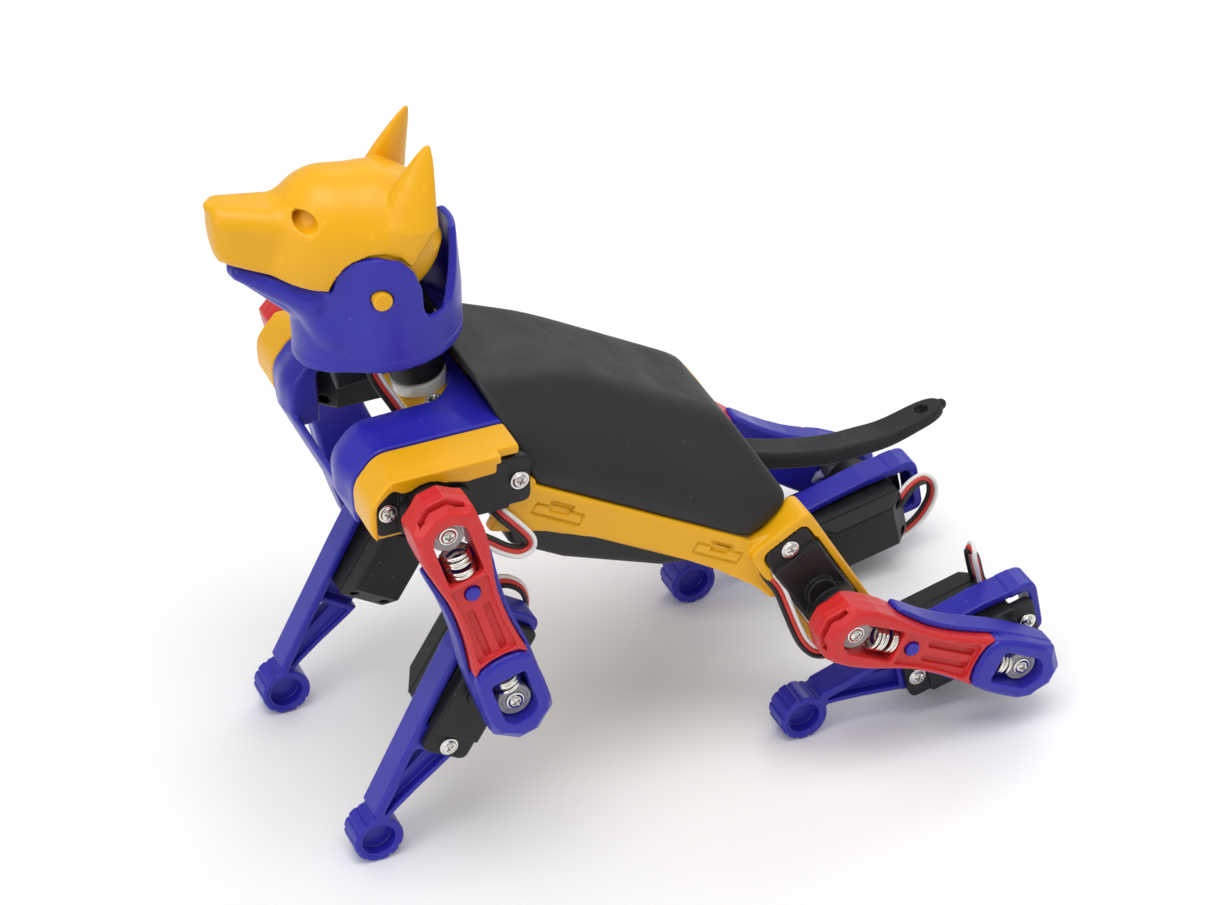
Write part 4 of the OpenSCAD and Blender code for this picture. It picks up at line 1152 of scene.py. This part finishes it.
# name, field, the box round it, voxel, frame, material, body and CAD node
for name, shape, low, high, h, m, look, body, node in (
        ("chassis_tray", chassis_field, (-66, -31, -17), (64, 31, 24), 0.6,
         BODY, YELLOW, "chassis", "chassis"),
        ("back_cover_shell", cover_field, (-36, -31.5, 5), (49, 31.5, 29), 0.6,
         BODY, COVER, "chassis", "back_cover"),
        ("chest_yoke_shell", yoke_field, (-21, -24.5, -10), (14.6, 24.5, 10), 0.42,
         level_hip(0), BLUE, "chassis", "chest_yoke"),
        ("battery_case", battery_field, (-35, -19.5, -12.5), (28, 19.5, 1), 0.6,
         BODY, PACK, "battery", "battery_pack"),
        ("power_button", button_field, (-2.3, -2.3, -2.2), (2.3, 2.3, 2.8), 0.3,
         BODY @ BUTTON_F, BUTTON, "battery_button", "battery_button"),
        ("curved_tail", tail_field, (-83, -4.2, 10), (-32, 4.2, 43), 0.45,
         BODY, RUBBER, "chassis", "tail"),
        ("neck_ring", neck_ring_field, (-6, -6, -3.6), (6, 6, 2.5), 0.35,
         NECK_F, CLEAR, "chassis", "neck_horn"),
        ("neck_servo_case", neck_servo_field, (-6.2, -6.2, -0.3), (18, 6.2, 23), 0.42,
         NECK_T, BLACK, "head", "neck_servo"),
        ("jaw_and_collar", collar_field, (24, -15.6, 107), (73, 15.6, 139), 0.42,
         HEAD, BLUE, "head", "jaw_collar"),
        ("skull_shell", skull_field, (28, -15.8, 120), (76.6, 15.8, 156.2), 0.4,
         HEAD, YELLOW, "skull", "skull")):
    piece(name, moved(sculpt(shape, low, high, h), m), look, body, [node])

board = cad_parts["main_board"]
board.data.materials.clear()
board.data.materials.append(BOARD)


def lead(name, pts, facing, body, m, nodes=()):
    shape, which = ribbon(pts, facing)
    return piece(name, moved(shape, m), [LEAD_W, LEAD_R, LEAD_K], body, nodes, which)


# loose loops of cable: at the hips in the body frame, at the knees in the shank's
LOOPS = {
    "front": [(38.5, 29.0, 3.4), (35.0, 31.5, 1.6), (31.2, 31.7, 0.1), (27.6, 31.7, -1.4),
              (25.2, 31.8, -2.8), (24.9, 31.9, -4.4), (26.6, 32.0, -5.7), (30.0, 32.1, -5.8),
              (33.7, 32.4, -5.1), (37.6, 33.4, -4.2), (41.5, 34.6, -3.4)],
    "rear": [(-31.5, 27.0, 5.0), (-34.6, 31.4, 2.4), (-38.4, 32.4, 0.2), (-42.0, 33.2, -3.0),
             (-45.9, 34.0, -6.5), (-49.5, 34.8, -9.3), (-53.2, 35.2, -10.6), (-56.4, 35.5, -9.6),
             (-58.5, 35.6, -7.5)]}
FACING = (0.45, 0.8, 0.4)
HIGH_LOOP = [
    (2.0, 22.0, 4), (6.0, 22.6, 3.4), (10.0, 23.0, 3.0), (13.6, 23.2, 2.8), (16.0, 22.8, 2.6),
    (17.0, 21.4, 2.4), (15.6, 20.0, 2.4), (12.0, 19.4, 2.6), (7.4, 19.0, 3.0), (3.0, 18.8, 3.6)]
LOW_LOOP = [
    (2.5, 19.0, 4.0), (4.6, 20.6, 8.5), (4.2, 22.0, 12.6), (1.2, 22.8, 15.0),
    (-3.0, 23.0, 14.6), (-6.6, 22.6, 11.4), (-8.2, 21.6, 6.6), (-7.0, 20.6, 2.0),
    (-3.8, 20.0, -1.0)]
KNEE_LOOPS = (LOW_LOOP, LOW_LOOP, HIGH_LOOP, LOW_LOOP)
for s, label in ((1, "left"), (-1, "right")):
    for end, pts in LOOPS.items():
        lead(end + "_" + label + "_servo_lead", pts, FACING, "chassis", BODY @ flip(s),
             ["servo_leads"] if (s, end) == (1, "front") else ())
for leg, name in enumerate(LEGS):
    lead(name + "_knee_lead", KNEE_LOOPS[leg], (-0.6, 0.5, 0.6), name + "_shank", shank_frame(leg))
neck_lead = lead("neck_lead", [(66.0, 6.0, 20.0), (63.4, 7.6, 16.0), (61.2, 8.2, 13.4),
                               (58.2, 8.4, 11.2), (55.0, 8.7, 9.2), (51.8, 9.0, 7.0),
                               (48.0, 8.6, 3.4)], (0.3, 0.9, 0.6), None, BODY)
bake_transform(neck_lead)

# ---- floor, light and camera ---------------------------------------------------------
floor_mat = bpy.data.materials.new("white_floor")
floor_mat.use_nodes = True
dial(floor_mat.node_tree.nodes["Principled BSDF"], Base_Color=(0.96, 0.96, 0.965, 1),
     Roughness=0.6)
me = bpy.data.meshes.new("floor")
HALF = 3.0
me.from_pydata([(x * HALF, y * HALF, 0) for x, y in ((-1, -1), (1, -1), (1, 1), (-1, 1))], [],
               [(0, 1, 2, 3)])
me.materials.append(floor_mat)
floor = bpy.data.objects.new("floor", me)
floor.location.z = -0.00005
bpy.context.scene.collection.objects.link(floor)

scene = bpy.context.scene
world = bpy.data.worlds.new("studio")
scene.world = world
world.use_nodes = True
wt = world.node_tree
bg = dial(wt.nodes["Background"], Color=(1.0, 1.0, 1.0, 1))
wc = wt.nodes.new("ShaderNodeTexCoord")
sep = wt.nodes.new("ShaderNodeSeparateXYZ")
ramp = dial(wt.nodes.new("ShaderNodeMapRange"), From_Min=-0.1, From_Max=0.9, To_Min=0.44,
            To_Max=0.72)
wt.links.new(wc.outputs["Generated"], sep.inputs[0])
wt.links.new(sep.outputs["Z"], ramp.inputs["Value"])
wt.links.new(ramp.outputs["Result"], bg.inputs["Strength"])


def softbox(name, where, size, power):
    light = bpy.data.lights.new(name, "AREA")
    light.shape = "RECTANGLE"
    light.size, light.size_y = size
    light.energy = power
    o = bpy.data.objects.new(name, light)
    o.location = where
    aim = Vector((0.0, 0.0, 0.06)) - Vector(where)
    o.rotation_euler = aim.to_track_quat("-Z", "Y").to_euler()
    scene.collection.objects.link(o)


softbox("top_box", (0.1, 0.2, 0.9), (0.7, 0.5), 3.8)
softbox("left_box", (0.75, 0.35, 0.45), (0.35, 0.5), 1.2)
softbox("back_box", (-0.5, -0.5, 0.6), (0.5, 0.4), 1.2)

# azimuth, elevation and roll in degrees, lens in millimetres, place in metres
AZ, EL, ROLL, LENS = 156.52, 34.46, -0.39, 104.4776
PLACE = (0.24959, 0.5632, 0.4879)
az, el, roll = (math.radians(v) for v in (AZ, EL, ROLL))
back = Vector((math.sin(az) * math.cos(el), -math.cos(az) * math.cos(el), math.sin(el)))
right = Vector((math.cos(az), math.sin(az), 0))
up = back.cross(right)
rolled_right = math.cos(roll) * right + math.sin(roll) * up
rolled_up = -math.sin(roll) * right + math.cos(roll) * up
m = Matrix((rolled_right, rolled_up, back)).transposed().to_4x4()
m.translation = Vector(PLACE)
cam = bpy.data.cameras.new("camera")
cam.sensor_width = 36
cam.lens = LENS
cam.clip_start = 0.01
camera = bpy.data.objects.new("camera", cam)
camera.matrix_world = m
scene.collection.objects.link(camera)
scene.camera = camera
scene.view_settings.view_transform = "Standard"
scene.view_settings.look = "None"
